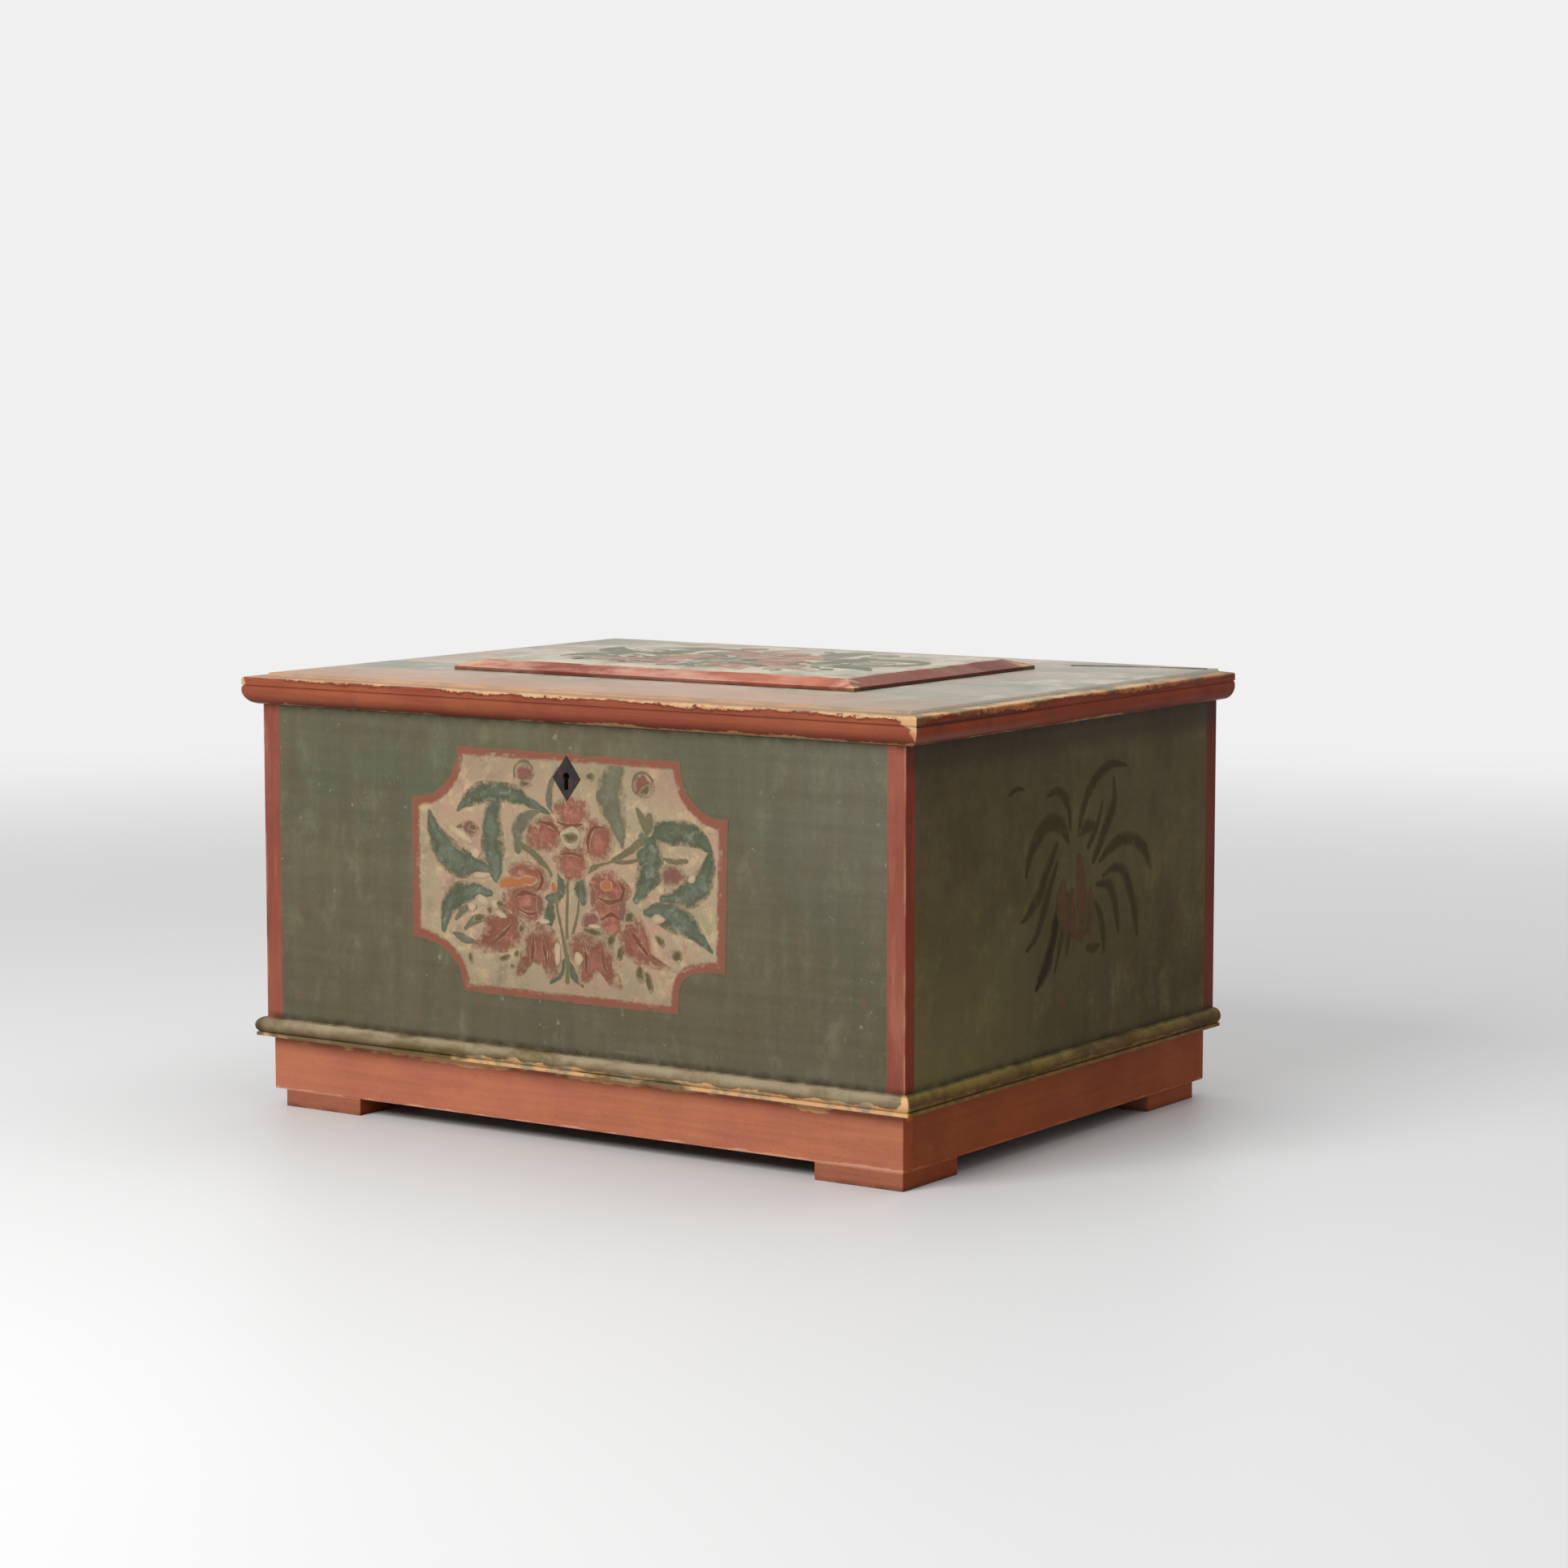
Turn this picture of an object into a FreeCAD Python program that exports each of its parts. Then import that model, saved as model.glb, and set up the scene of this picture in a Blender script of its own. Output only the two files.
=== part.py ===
"""Painted storage chest.

A box of dovetailed boards stands on a low plinth with four foot blocks. Its lid turns on two strap
hinges behind the back board, and an iron lock inside the front board holds it with a sliding bolt.
Millimetres. X runs along the length, Y from front to back, Z up from the floor. The origin is the
middle of the footprint, at floor level.
"""
import FreeCAD, Part
import math
import os
import Sketcher

SHEET = "Dimensions"

# Driving dimensions, in millimetres
DIMENSIONS = {
    "case_length": 820,
    "case_depth": 632,
    "wall": 22,
    "foot_height": 18,
    "plinth_top": 77,
    "bottom_thickness": 19,
    "rim_height": 449,
    "tail_wide": 40,
    "tail_narrow": 33,
    "floor_board_depth": 210,
    "base_moulding_height": 20,
    "base_moulding_reach": 10,
    "base_moulding_fillet": 3.5,
    "base_moulding_set_back": 1.2,
    "base_moulding_radius": 9,
    "plinth_inset": 5,
    "plinth_rear_inset": 12,
    "plinth_thickness": 18,
    "foot_length": 104,
    "foot_depth": 101,
    "front_foot_inset": 16,
    "rear_foot_inset": 2,
    "lid_thickness": 22,
    "lid_front_reach": 13,
    "lid_side_reach": 20,
    "lid_rear_reach": 5,
    "lid_board_depth": 210,
    "lid_arris": 3,
    "lid_moulding_width": 20,
    "lid_moulding_top": 468,
    "lid_moulding_foot": 437.5,
    "lid_moulding_radius": 16,
    "lid_moulding_fall": 0.8,
    "quirk_depth": 1.3,
    "quirk_height": 2,
    "quirk_level": 457,
    "lip_gap": 1,
    "panel_length": 520,
    "panel_depth": 360,
    "panel_shift_x": -12,
    "panel_shift_y": 20,
    "panel_fillet": 4,
    "panel_rise": 12,
    "panel_bevel": 28,
    "batten_width": 60,
    "batten_thickness": 20,
    "batten_length": 556,
    "batten_chamfer": 12,
    "batten_place": 175,
    "till_width": 126,
    "till_side_thickness": 14,
    "till_floor_thickness": 12,
    "till_floor_level": 305,
    "till_top": 425,
    "housing_depth": 5,
    "hinge_place": 285,
    "hinge_width": 44,
    "hinge_reach": 7,
    "hinge_drop": 6.5,
    "knuckle_radius": 6,
    "knuckle_width": 18,
    "knuckle_gap": 0.6,
    "pin_radius": 2.5,
    "pin_play": 0.06,
    "pin_overhang": 1,
    "strap_thickness": 3,
    "lid_strap_length": 250,
    "back_strap_length": 112,
    "strap_neck": 9,
    "strap_tip_width": 13,
    "finial_length": 28,
    "finial_radius": 16,
    "notch_play": 1,
    "notch_floor_play": 0.6,
    "lid_nail_first": 25,
    "lid_nail_step": 63,
    "back_nail_first": 20,
    "back_nail_step": 26,
    "keyhole_level": 384,
    "keyhole_radius": 4,
    "keyhole_slot": 5,
    "keyhole_drop": 14,
    "escutcheon_width": 35,
    "escutcheon_height": 46,
    "escutcheon_thickness": 1.2,
    "escutcheon_drop": 2,
    "lock_plate_left": 58,
    "lock_plate_right": 74,
    "lock_plate_foot": 352,
    "lock_plate_top": 445,
    "lock_sheet": 2,
    "lock_margin": 12,
    "lock_head_margin": 3,
    "lock_box_depth": 20,
    "slot_width": 10,
    "slot_depth": 18,
    "staple_place": 24,
    "staple_plate_length": 60,
    "staple_plate_depth": 22,
    "staple_thickness": 3,
    "staple_bar": 5,
    "staple_width": 14,
    "staple_leg": 3.5,
    "staple_foot": 420,
    "eye_foot": 424,
    "eye_top": 436,
    "bolt_tip": 18,
    "bolt_length": 60,
    "bolt_thickness": 5,
    "bolt_foot": 425.5,
    "bolt_height": 9,
    "bolt_nose": 2,
    "talon_left": 1,
    "talon_width": 12,
    "talon_foot": 396,
    "talon_notch": 4,
    "guide_left": 18,
    "guide_width": 10,
    "guide_foot": 416,
    "guide_play": 0.3,
    "spring_thickness": 1.2,
    "spring_width": 6,
    "spring_foot": 7,
    "spring_reach": 18,
    "spring_curl": 3,
    "spring_play": 0.2,
    "nail_head": 9,
    "nail_head_height": 2.2,
    "nail_shank": 3.6,
    "nail_length": 15,
    "nail_tip": 0.6,
    "lock_nail_inset": 6,
    "staple_nail_inset": 9,
}

TAILS = 6
STRAP_NAILS = 4

# How far a cutting shape runs past the piece that it cuts
CLEAR = 5

# Numbers by which sketches know their points
ARC_START = 1
ARC_END = 2
CENTRE = 3
ORIGIN_POINT = (-1, 1)
SAME_POINT = 1e-6


class Size:
    """A length that carries both its value and the sheet expression that gives it."""

    def __init__(self, value, text):
        self.value = float(value)
        self.text = text

    def __add__(self, other):
        return Size(self.value + value_of(other), f"({self.text} + {text_of(other)})")

    def __sub__(self, other):
        return Size(self.value - value_of(other), f"({self.text} - {text_of(other)})")

    def __mul__(self, other):
        return Size(self.value * value_of(other), f"({self.text} * {text_of(other)})")

    def __truediv__(self, other):
        return Size(self.value / value_of(other), f"({self.text} / {text_of(other)})")

    def __neg__(self):
        return Size(-self.value, f"(0 - {self.text})")

    def __radd__(self, other):
        return Size(value_of(other), text_of(other)) + self

    def __rsub__(self, other):
        return Size(value_of(other), text_of(other)) - self


def value_of(size):
    return size.value if isinstance(size, Size) else float(size)


def text_of(size):
    return size.text if isinstance(size, Size) else f"{size:g}"


def root(size):
    return Size(math.sqrt(size.value), f"sqrt({size.text})")


def make_sheet(document):
    """Fill the sheet with the driving dimensions and return them as sizes."""
    sheet = document.addObject("Spreadsheet::Sheet", SHEET)
    sizes = {}
    for row, (alias, value) in enumerate(DIMENSIONS.items(), start=1):
        sheet.set(f"A{row}", alias.replace("_", " "))
        sheet.set(f"B{row}", f"{value:g}")
        sheet.setAlias(f"B{row}", alias)
        sizes[alias] = Size(value, f"{SHEET}.{alias}")
    document.recompute()
    return sizes


doc = FreeCAD.newDocument("storage_chest")
S = make_sheet(doc)


# Places that several pieces share

end_face = S["case_length"] / 2
front_face = -S["case_depth"] / 2
back_face = S["case_depth"] / 2
inner_end = end_face - S["wall"]
inner_front = front_face + S["wall"]
inner_back = back_face - S["wall"]
wall_foot = S["plinth_top"] + S["bottom_thickness"]
wall_height = S["rim_height"] - wall_foot
lid_top = S["rim_height"] + S["lid_thickness"]
lid_front = front_face - S["lid_front_reach"]
lid_back = back_face + S["lid_rear_reach"]
lid_end = end_face + S["lid_side_reach"]
hinge_y = back_face + S["hinge_reach"]
hinge_z = S["rim_height"] - S["hinge_drop"]
lid_boards_front = lid_front + S["lid_moulding_width"]
lid_boards_end = lid_end - S["lid_moulding_width"]
through = S["case_length"] * 2


# Helpers

def vector(x, y, z):
    return FreeCAD.Vector(value_of(x), value_of(y), value_of(z))


def place(item, x=0, y=0, z=0, turn=0):
    """Put an item at a place given by sizes, turned about the vertical by whole degrees."""
    item.Placement = FreeCAD.Placement(vector(x, y, z), FreeCAD.Rotation(FreeCAD.Vector(0, 0, 1), turn))
    for axis, size in zip("xyz", (x, y, z)):
        item.setExpression(f"Placement.Base.{axis}", text_of(size))


def box(name, low, span):
    """A plain board or block, from its lowest corner and its three sides."""
    item = doc.addObject("Part::Box", name)
    for side, size in zip(("Length", "Width", "Height"), span):
        item.setExpression(side, text_of(size))
    place(item, *low)
    return item


def cut(name, base, *tools):
    """The base with each tool taken out of it in turn."""
    for number, tool in enumerate(tools, start=1):
        last = number == len(tools)
        item = doc.addObject("Part::Cut", name if last else f"{name}_step_{number}")
        item.Base = base
        item.Tool = tool
        base = item
    return base


def new_body(name):
    return doc.addObject("PartDesign::Body", name)


def plane_of(body, role):
    return next(item for item in body.Origin.OriginFeatures if item.Role == role)


def new_sketch(body, name, role, offset=0):
    sketch = body.newObject("Sketcher::SketchObject", name)
    sketch.AttachmentSupport = [(plane_of(body, role), "")]
    sketch.MapMode = "FlatFace"
    sketch.setExpression("AttachmentOffset.Base.z", text_of(offset))
    return sketch


def hold(sketch, kind, geometry, point, size):
    """Fix one coordinate of a sketch point from the sketch's origin."""
    place_in_list = sketch.addConstraint(
        Sketcher.Constraint(kind, *ORIGIN_POINT, geometry, point, value_of(size)))
    sketch.setExpression(f"Constraints[{place_in_list}]", text_of(size))


def arc_between(start, end, radius):
    """The short arc from start to end; a positive radius has its centre on the left."""
    across = end - start
    rise = math.sqrt(radius * radius - across.Length * across.Length / 4)
    left = FreeCAD.Vector(-across.y, across.x, 0).normalize()
    side = math.copysign(1, radius)
    centre = (start + end) / 2 + left * rise * side
    middle = centre - left * side * abs(radius)
    return Part.Arc(start, middle, end)


def outline(body, name, role, corners, arcs=None, offset=0):
    """A closed sketch through the corners; arcs maps an edge's number to its signed radius."""
    arcs = arcs or {}
    sketch = new_sketch(body, name, role, offset)
    points = [vector(x, y, 0) for x, y in corners]
    starts = []
    ends = []
    for number, start in enumerate(points):
        end = points[(number + 1) % len(points)]
        if number in arcs:
            edge = sketch.addGeometry(arc_between(start, end, value_of(arcs[number])))
            forward = sketch.getPoint(edge, ARC_START).distanceToPoint(start) < SAME_POINT
        else:
            edge = sketch.addGeometry(Part.LineSegment(start, end))
            forward = True
        starts.append((edge, ARC_START if forward else ARC_END))
        ends.append((edge, ARC_END if forward else ARC_START))
    for number in range(len(points)):
        following = (number + 1) % len(points)
        sketch.addConstraint(Sketcher.Constraint("Coincident", *ends[number], *starts[following]))
    for number, (x, y) in enumerate(corners):
        hold(sketch, "DistanceX", *starts[number], x)
        hold(sketch, "DistanceY", *starts[number], y)
    for number, radius in arcs.items():
        size = radius if value_of(radius) > 0 else -radius
        listed = sketch.addConstraint(Sketcher.Constraint("Radius", starts[number][0], value_of(size)))
        sketch.setExpression(f"Constraints[{listed}]", text_of(size))
    return sketch


def circle(body, name, role, x, y, radius, offset=0):
    """A sketch of one circle."""
    sketch = new_sketch(body, name, role, offset)
    ring = sketch.addGeometry(Part.Circle(vector(x, y, 0), FreeCAD.Vector(0, 0, 1), value_of(radius)))
    hold(sketch, "DistanceX", ring, CENTRE, x)
    hold(sketch, "DistanceY", ring, CENTRE, y)
    listed = sketch.addConstraint(Sketcher.Constraint("Radius", ring, value_of(radius)))
    sketch.setExpression(f"Constraints[{listed}]", text_of(radius))
    return sketch


def pad(body, sketch, length, symmetric=False):
    feature = body.newObject("PartDesign::Pad", f"{sketch.Name}_pad")
    feature.Profile = sketch
    feature.SideType = "Symmetric" if symmetric else "One side"
    feature.setExpression("Length", text_of(length))
    sketch.Visibility = False
    return feature


def pocket(body, sketch):
    """Cut a sketch's shape right through a body, to both sides of the sketch."""
    feature = body.newObject("PartDesign::Pocket", f"{sketch.Name}_pocket")
    feature.Profile = sketch
    feature.SideType = "Symmetric"
    feature.setExpression("Length", text_of(through))
    sketch.Visibility = False
    return feature


def rectangle(low_x, low_y, high_x, high_y):
    return [(low_x, low_y), (high_x, low_y), (high_x, high_y), (low_x, high_y)]


# Case walls: the long boards carry the tails, and the end boards are cut to fit round them

def tail_side(side):
    """The corners of one end of a long board, from the foot up, on the side 1 or -1."""
    pitch = wall_height / TAILS
    corners = []
    for number in range(TAILS):
        middle = wall_foot + pitch * (number + 0.5)
        half_narrow = S["tail_narrow"] / 2
        half_wide = S["tail_wide"] / 2
        corners.append((inner_end * side, middle - half_narrow))
        corners.append((end_face * side, middle - half_wide))
        corners.append((end_face * side, middle + half_wide))
        corners.append((inner_end * side, middle + half_narrow))
    return corners


def hinge_notches():
    """The top edge of the back board from right to left, let down under both lid straps."""
    half = S["hinge_width"] / 2 + S["notch_play"]
    floor = S["rim_height"] - S["strap_thickness"] - S["notch_floor_play"]
    corners = []
    for side in (1, -1):
        middle = S["hinge_place"] * side
        corners.append((middle + half, S["rim_height"]))
        corners.append((middle + half, floor))
        corners.append((middle - half, floor))
        corners.append((middle - half, S["rim_height"]))
    return corners


def long_board(name, outer_y_of_inner_side, top_edge):
    body = new_body(name)
    right = [(inner_end, wall_foot), *tail_side(1), (inner_end, S["rim_height"])]
    left = [(-inner_end, S["rim_height"]), *reversed(tail_side(-1)), (-inner_end, wall_foot)]
    face = outline(body, f"{name}_face", "XZ_Plane", right + top_edge + left)
    pad(body, face, S["wall"])
    place(body, y=outer_y_of_inner_side)
    return body


def keyhole_cut(body, name):
    """The round head and the straight foot of the keyhole, through a plate or board."""
    head = circle(body, f"{name}_keyhole_head", "XZ_Plane", 0, S["keyhole_level"], S["keyhole_radius"])
    pocket(body, head)
    half = S["keyhole_slot"] / 2
    foot_corners = rectangle(-half, S["keyhole_level"] - S["keyhole_drop"], half, S["keyhole_level"])
    foot = outline(body, f"{name}_keyhole_foot", "XZ_Plane", foot_corners)
    pocket(body, foot)


def till_pieces():
    """The small open box at the left end, let into grooves in the boards around it."""
    till_side_left = -inner_end + S["till_width"]
    reach_front = inner_front - S["housing_depth"]
    reach_back = inner_back + S["housing_depth"]
    side = box("till_side", (till_side_left, reach_front, S["till_floor_level"]),
               (S["till_side_thickness"], reach_back - reach_front, S["till_top"] - S["till_floor_level"]))
    floor_left = -inner_end - S["housing_depth"]
    floor_low = S["till_floor_level"]
    floor = box("till_floor", (floor_left, reach_front, floor_low),
                (till_side_left - floor_left, reach_back - reach_front, S["till_floor_thickness"]))
    return side, floor


def case_walls(till_side, till_floor):
    front_blank = long_board("front_blank", inner_front, [])
    keyhole_cut(front_blank, "front_blank")
    back_blank = long_board("back_blank", back_face, hinge_notches())
    walls = {
        "front_board": cut("front_board", front_blank, till_side, till_floor),
        "back_board": cut("back_board", back_blank, till_side, till_floor),
    }
    span = (S["wall"], S["case_depth"], wall_height)
    left_blank = box("left_blank", (-end_face, front_face, wall_foot), span)
    right_blank = box("right_blank", (inner_end, front_face, wall_foot), span)
    walls["left_end_board"] = cut("left_end_board", left_blank, front_blank, back_blank, till_floor)
    walls["right_end_board"] = cut("right_end_board", right_blank, front_blank, back_blank)
    return walls


def bottom_boards():
    """Three lengthwise boards nailed up under the walls."""
    first = S["floor_board_depth"]
    starts = {
        "bottom_board_front": (front_face, first),
        "bottom_board_middle": (front_face + first, S["case_depth"] - first * 2),
        "bottom_board_rear": (back_face - first, first),
    }
    boards = {}
    for name, (start, depth) in starts.items():
        low = (-end_face, start, S["plinth_top"])
        boards[name] = box(name, low, (S["case_length"], depth, S["bottom_thickness"]))
    return boards


# Mouldings: a profile run along the local X axis, with Y inward from the outermost plane

def mitre(body, name, half_run, width, side):
    """Cut one end of a run back at 45 degrees, at the side 1 or -1."""
    outer = (half_run + CLEAR) * side
    inner = (half_run - width - CLEAR) * side
    corners = [(outer, -CLEAR), (outer, width + CLEAR), (inner, width + CLEAR)]
    end = "high" if side > 0 else "low"
    pocket(body, outline(body, f"{name}_mitre_{end}", "XY_Plane", corners))


def lid_moulding(name, run, mitres, lip_thickness, spot, turn):
    """Fillet, quirk and ovolo, with a lip that hangs in front of the case's rim."""
    body = new_body(name)
    radius = S["lid_moulding_radius"]
    bead_level = S["lid_moulding_foot"] + radius
    bead_rise = S["quirk_level"] - bead_level
    bead_top = radius - root(radius * radius - bead_rise * bead_rise)
    profile = [
        (S["lid_moulding_width"], S["lid_moulding_foot"]),
        (radius, S["lid_moulding_foot"]),
        (bead_top, S["quirk_level"]),
        (S["quirk_depth"], S["quirk_level"]),
        (S["quirk_depth"], S["quirk_level"] + S["quirk_height"]),
        (0, S["quirk_level"] + S["quirk_height"]),
        (0, S["lid_moulding_top"] - S["lid_arris"]),
        (S["lid_arris"], S["lid_moulding_top"] - S["lid_moulding_fall"]),
        (S["lid_moulding_width"], S["lid_moulding_top"]),
    ]
    face = outline(body, f"{name}_profile", "YZ_Plane", profile, {1: -radius, 6: -S["lid_arris"]})
    pad(body, face, run, symmetric=True)
    rebate_corners = rectangle(lip_thickness, S["lid_moulding_foot"] - CLEAR,
                               S["lid_moulding_width"] + CLEAR, S["rim_height"])
    pocket(body, outline(body, f"{name}_rebate", "YZ_Plane", rebate_corners))
    for side in mitres:
        mitre(body, name, run / 2, S["lid_moulding_width"], side)
    place(body, *spot, turn=turn)
    return body


def lid_mouldings():
    side_run = lid_back - lid_front
    middle = (lid_back + lid_front) / 2
    side_lip = S["lid_side_reach"] - S["lip_gap"]
    front_lip = S["lid_front_reach"] - S["lip_gap"]
    return {
        "lid_moulding_front": lid_moulding(
            "lid_moulding_front", lid_end * 2, (1, -1), front_lip, (0, lid_front, 0), 0),
        "lid_moulding_right": lid_moulding(
            "lid_moulding_right", side_run, (-1,), side_lip, (lid_end, middle, 0), 90),
        "lid_moulding_left": lid_moulding(
            "lid_moulding_left", side_run, (1,), side_lip, (-lid_end, middle, 0), -90),
    }


def base_moulding(name, run, mitres, spot, turn):
    """A half round that dies into the wall above, over a small square fillet."""
    body = new_body(name)
    reach = S["base_moulding_reach"]
    radius = S["base_moulding_radius"]
    top = S["plinth_top"] + S["base_moulding_height"]
    fillet_top = S["plinth_top"] + S["base_moulding_fillet"]
    drop = reach - radius
    centre = top - root(radius * radius - drop * drop)
    below = centre - fillet_top
    round_foot = radius - root(radius * radius - below * below)
    profile = [
        (reach, S["plinth_top"]),
        (S["base_moulding_set_back"], S["plinth_top"]),
        (S["base_moulding_set_back"], fillet_top),
        (round_foot, fillet_top),
        (0, centre),
        (reach, top),
    ]
    face = outline(body, f"{name}_profile", "YZ_Plane", profile, {3: -radius, 4: -radius})
    pad(body, face, run, symmetric=True)
    for side in mitres:
        mitre(body, name, run / 2, reach, side)
    place(body, *spot, turn=turn)
    return body


def base_mouldings():
    reach = S["base_moulding_reach"]
    side_run = S["case_depth"] + reach
    side_middle = -reach / 2
    return {
        "base_moulding_front": base_moulding(
            "base_moulding_front", S["case_length"] + reach * 2, (1, -1), (0, front_face - reach, 0), 0),
        "base_moulding_right": base_moulding(
            "base_moulding_right", side_run, (-1,), (end_face + reach, side_middle, 0), 90),
        "base_moulding_left": base_moulding(
            "base_moulding_left", side_run, (1,), (-end_face - reach, side_middle, 0), -90),
    }


# Plinth frame and its foot blocks

def plinth():
    thickness = S["plinth_thickness"]
    height = S["plinth_top"] - S["foot_height"]
    outer_end = end_face - S["plinth_inset"]
    front = front_face + S["plinth_inset"]
    back = back_face - S["plinth_rear_inset"]
    low = S["foot_height"]
    side_depth = back - front - thickness * 2
    side_start = front + thickness
    return {
        "plinth_front": box("plinth_front", (-outer_end, front, low), (outer_end * 2, thickness, height)),
        "plinth_back": box("plinth_back", (-outer_end, back - thickness, low),
                           (outer_end * 2, thickness, height)),
        "plinth_right": box("plinth_right", (outer_end - thickness, side_start, low),
                            (thickness, side_depth, height)),
        "plinth_left": box("plinth_left", (-outer_end, side_start, low), (thickness, side_depth, height)),
    }


def feet():
    outer_end = end_face - S["plinth_inset"]
    front = front_face + S["plinth_inset"]
    back = back_face - S["plinth_rear_inset"] - S["plinth_thickness"] - S["rear_foot_inset"]
    span = (S["foot_length"], S["foot_depth"], S["foot_height"])
    rear_x = outer_end - S["rear_foot_inset"]
    rear_y = back - S["foot_depth"]
    return {
        "foot_front_left": box("foot_front_left", (-outer_end + S["front_foot_inset"], front, 0), span),
        "foot_front_right": box("foot_front_right", (outer_end - S["foot_length"], front, 0), span),
        "foot_rear_left": box("foot_rear_left", (-rear_x, rear_y, 0), span),
        "foot_rear_right": box("foot_rear_right", (rear_x - S["foot_length"], rear_y, 0), span),
    }


# Lid boards, battens and the raised panel

def lid_board(name, start, depth, front_arris, back_arris):
    """One lengthwise board, its outer top edge taken off where it shows."""
    body = new_body(name)
    bevel = S["lid_arris"]
    low = S["rim_height"]
    corners = [(start, low), (start + depth, low)]
    if back_arris:
        corners += [(start + depth, lid_top - bevel), (start + depth - bevel, lid_top)]
    else:
        corners.append((start + depth, lid_top))
    if front_arris:
        corners += [(start + bevel, lid_top), (start, lid_top - bevel)]
    else:
        corners.append((start, lid_top))
    face = outline(body, f"{name}_section", "YZ_Plane", corners)
    pad(body, face, lid_boards_end * 2, symmetric=True)
    return body


def lid_boards():
    step = S["lid_board_depth"]
    first = lid_boards_front
    last = first + step * 2
    return {
        "lid_board_front": lid_board("lid_board_front", first, step, True, False),
        "lid_board_middle": lid_board("lid_board_middle", first + step, step, False, False),
        "lid_board_rear": lid_board("lid_board_rear", last, lid_back - last, False, True),
    }


def battens():
    """Two cross battens that hold the lid boards together from below."""
    pieces = {}
    half = S["batten_length"] / 2
    foot = S["rim_height"] - S["batten_thickness"]
    cut_back = S["batten_chamfer"]
    corners = [
        (-half, S["rim_height"]),
        (-half, foot + cut_back),
        (-half + cut_back, foot),
        (half - cut_back, foot),
        (half, foot + cut_back),
        (half, S["rim_height"]),
    ]
    for name, side in (("lid_batten_left", -1), ("lid_batten_right", 1)):
        body = new_body(name)
        pad(body, outline(body, f"{name}_side", "YZ_Plane", corners), S["batten_width"], symmetric=True)
        place(body, x=S["batten_place"] * side)
        pieces[name] = body
    return pieces


def raised_panel():
    """A board laid on the lid: an upright edge, then a bevel that rises to the painted field."""
    body = new_body("raised_panel")
    half_x = S["panel_length"] / 2
    half_y = S["panel_depth"] / 2
    bevel = S["panel_bevel"]
    edge = outline(body, "raised_panel_edge", "XY_Plane", rectangle(-half_x, -half_y, half_x, half_y))
    pad(body, edge, S["panel_fillet"])
    foot = outline(body, "raised_panel_foot", "XY_Plane", rectangle(-half_x, -half_y, half_x, half_y),
                   offset=S["panel_fillet"])
    field = outline(body, "raised_panel_field", "XY_Plane",
                    rectangle(-half_x + bevel, -half_y + bevel, half_x - bevel, half_y - bevel),
                    offset=S["panel_rise"])
    slope = body.newObject("PartDesign::AdditiveLoft", "raised_panel_slope")
    slope.Profile = foot
    slope.Sections = [field]
    slope.Ruled = True
    place(body, S["panel_shift_x"], S["panel_shift_y"], lid_top)
    return body


# Strap hinges, each round an origin on the axis of its pin

def strap_corners(start, length, half_root):
    """A tapering strap from its root at start, along minus the second axis, to a leaf-shaped tip."""
    tip = start - length
    neck = tip + S["finial_length"]
    shoulder = neck + S["finial_length"] / 2
    return [
        (-half_root, start),
        (-S["strap_tip_width"], shoulder),
        (-S["strap_neck"], neck),
        (0, tip),
        (S["strap_neck"], neck),
        (S["strap_tip_width"], shoulder),
        (half_root, start),
    ]


def strap_arcs():
    return {2: S["finial_radius"], 3: S["finial_radius"]}


def lid_strap(name):
    body = new_body(name)
    low = S["hinge_drop"] - S["strap_thickness"]
    half = S["hinge_width"] / 2
    start = -S["hinge_reach"]
    leaf = outline(body, f"{name}_leaf", "XY_Plane", strap_corners(start, S["lid_strap_length"], half),
                   strap_arcs(), offset=low)
    pad(body, leaf, S["strap_thickness"])
    tongue_half = S["knuckle_width"] / 2
    tongue = outline(body, f"{name}_tongue", "XY_Plane", rectangle(-tongue_half, start, tongue_half, 0),
                     offset=low)
    pad(body, tongue, S["strap_thickness"])
    knuckle = circle(body, f"{name}_knuckle", "YZ_Plane", 0, 0, S["knuckle_radius"])
    pad(body, knuckle, S["knuckle_width"], symmetric=True)
    bore = circle(body, f"{name}_bore", "YZ_Plane", 0, 0, S["pin_radius"] + S["pin_play"])
    pocket(body, bore)
    return body


def back_strap(name):
    body = new_body(name)
    half = S["hinge_width"] / 2
    inner = S["knuckle_width"] / 2 + S["knuckle_gap"]
    plate_front = -S["hinge_reach"]
    sunk = S["knuckle_radius"] + S["knuckle_gap"]
    leaf_corners = strap_corners(0, S["back_strap_length"], half)
    clear = inner + S["knuckle_gap"]
    notch = [(clear, 0), (clear, -sunk), (-clear, -sunk), (-clear, 0)]
    back_of_plate = plate_front + S["strap_thickness"]
    leaf = outline(body, f"{name}_leaf", "XZ_Plane", leaf_corners + notch, strap_arcs(),
                   offset=-back_of_plate)
    pad(body, leaf, S["strap_thickness"])
    ear_width = half - inner
    for label, offset in (("right", inner), ("left", -half)):
        knuckle = circle(body, f"{name}_knuckle_{label}", "YZ_Plane", 0, 0, S["knuckle_radius"], offset)
        pad(body, knuckle, ear_width)
    bore = circle(body, f"{name}_bore", "YZ_Plane", 0, 0, S["pin_radius"])
    pocket(body, bore)
    return body


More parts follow.
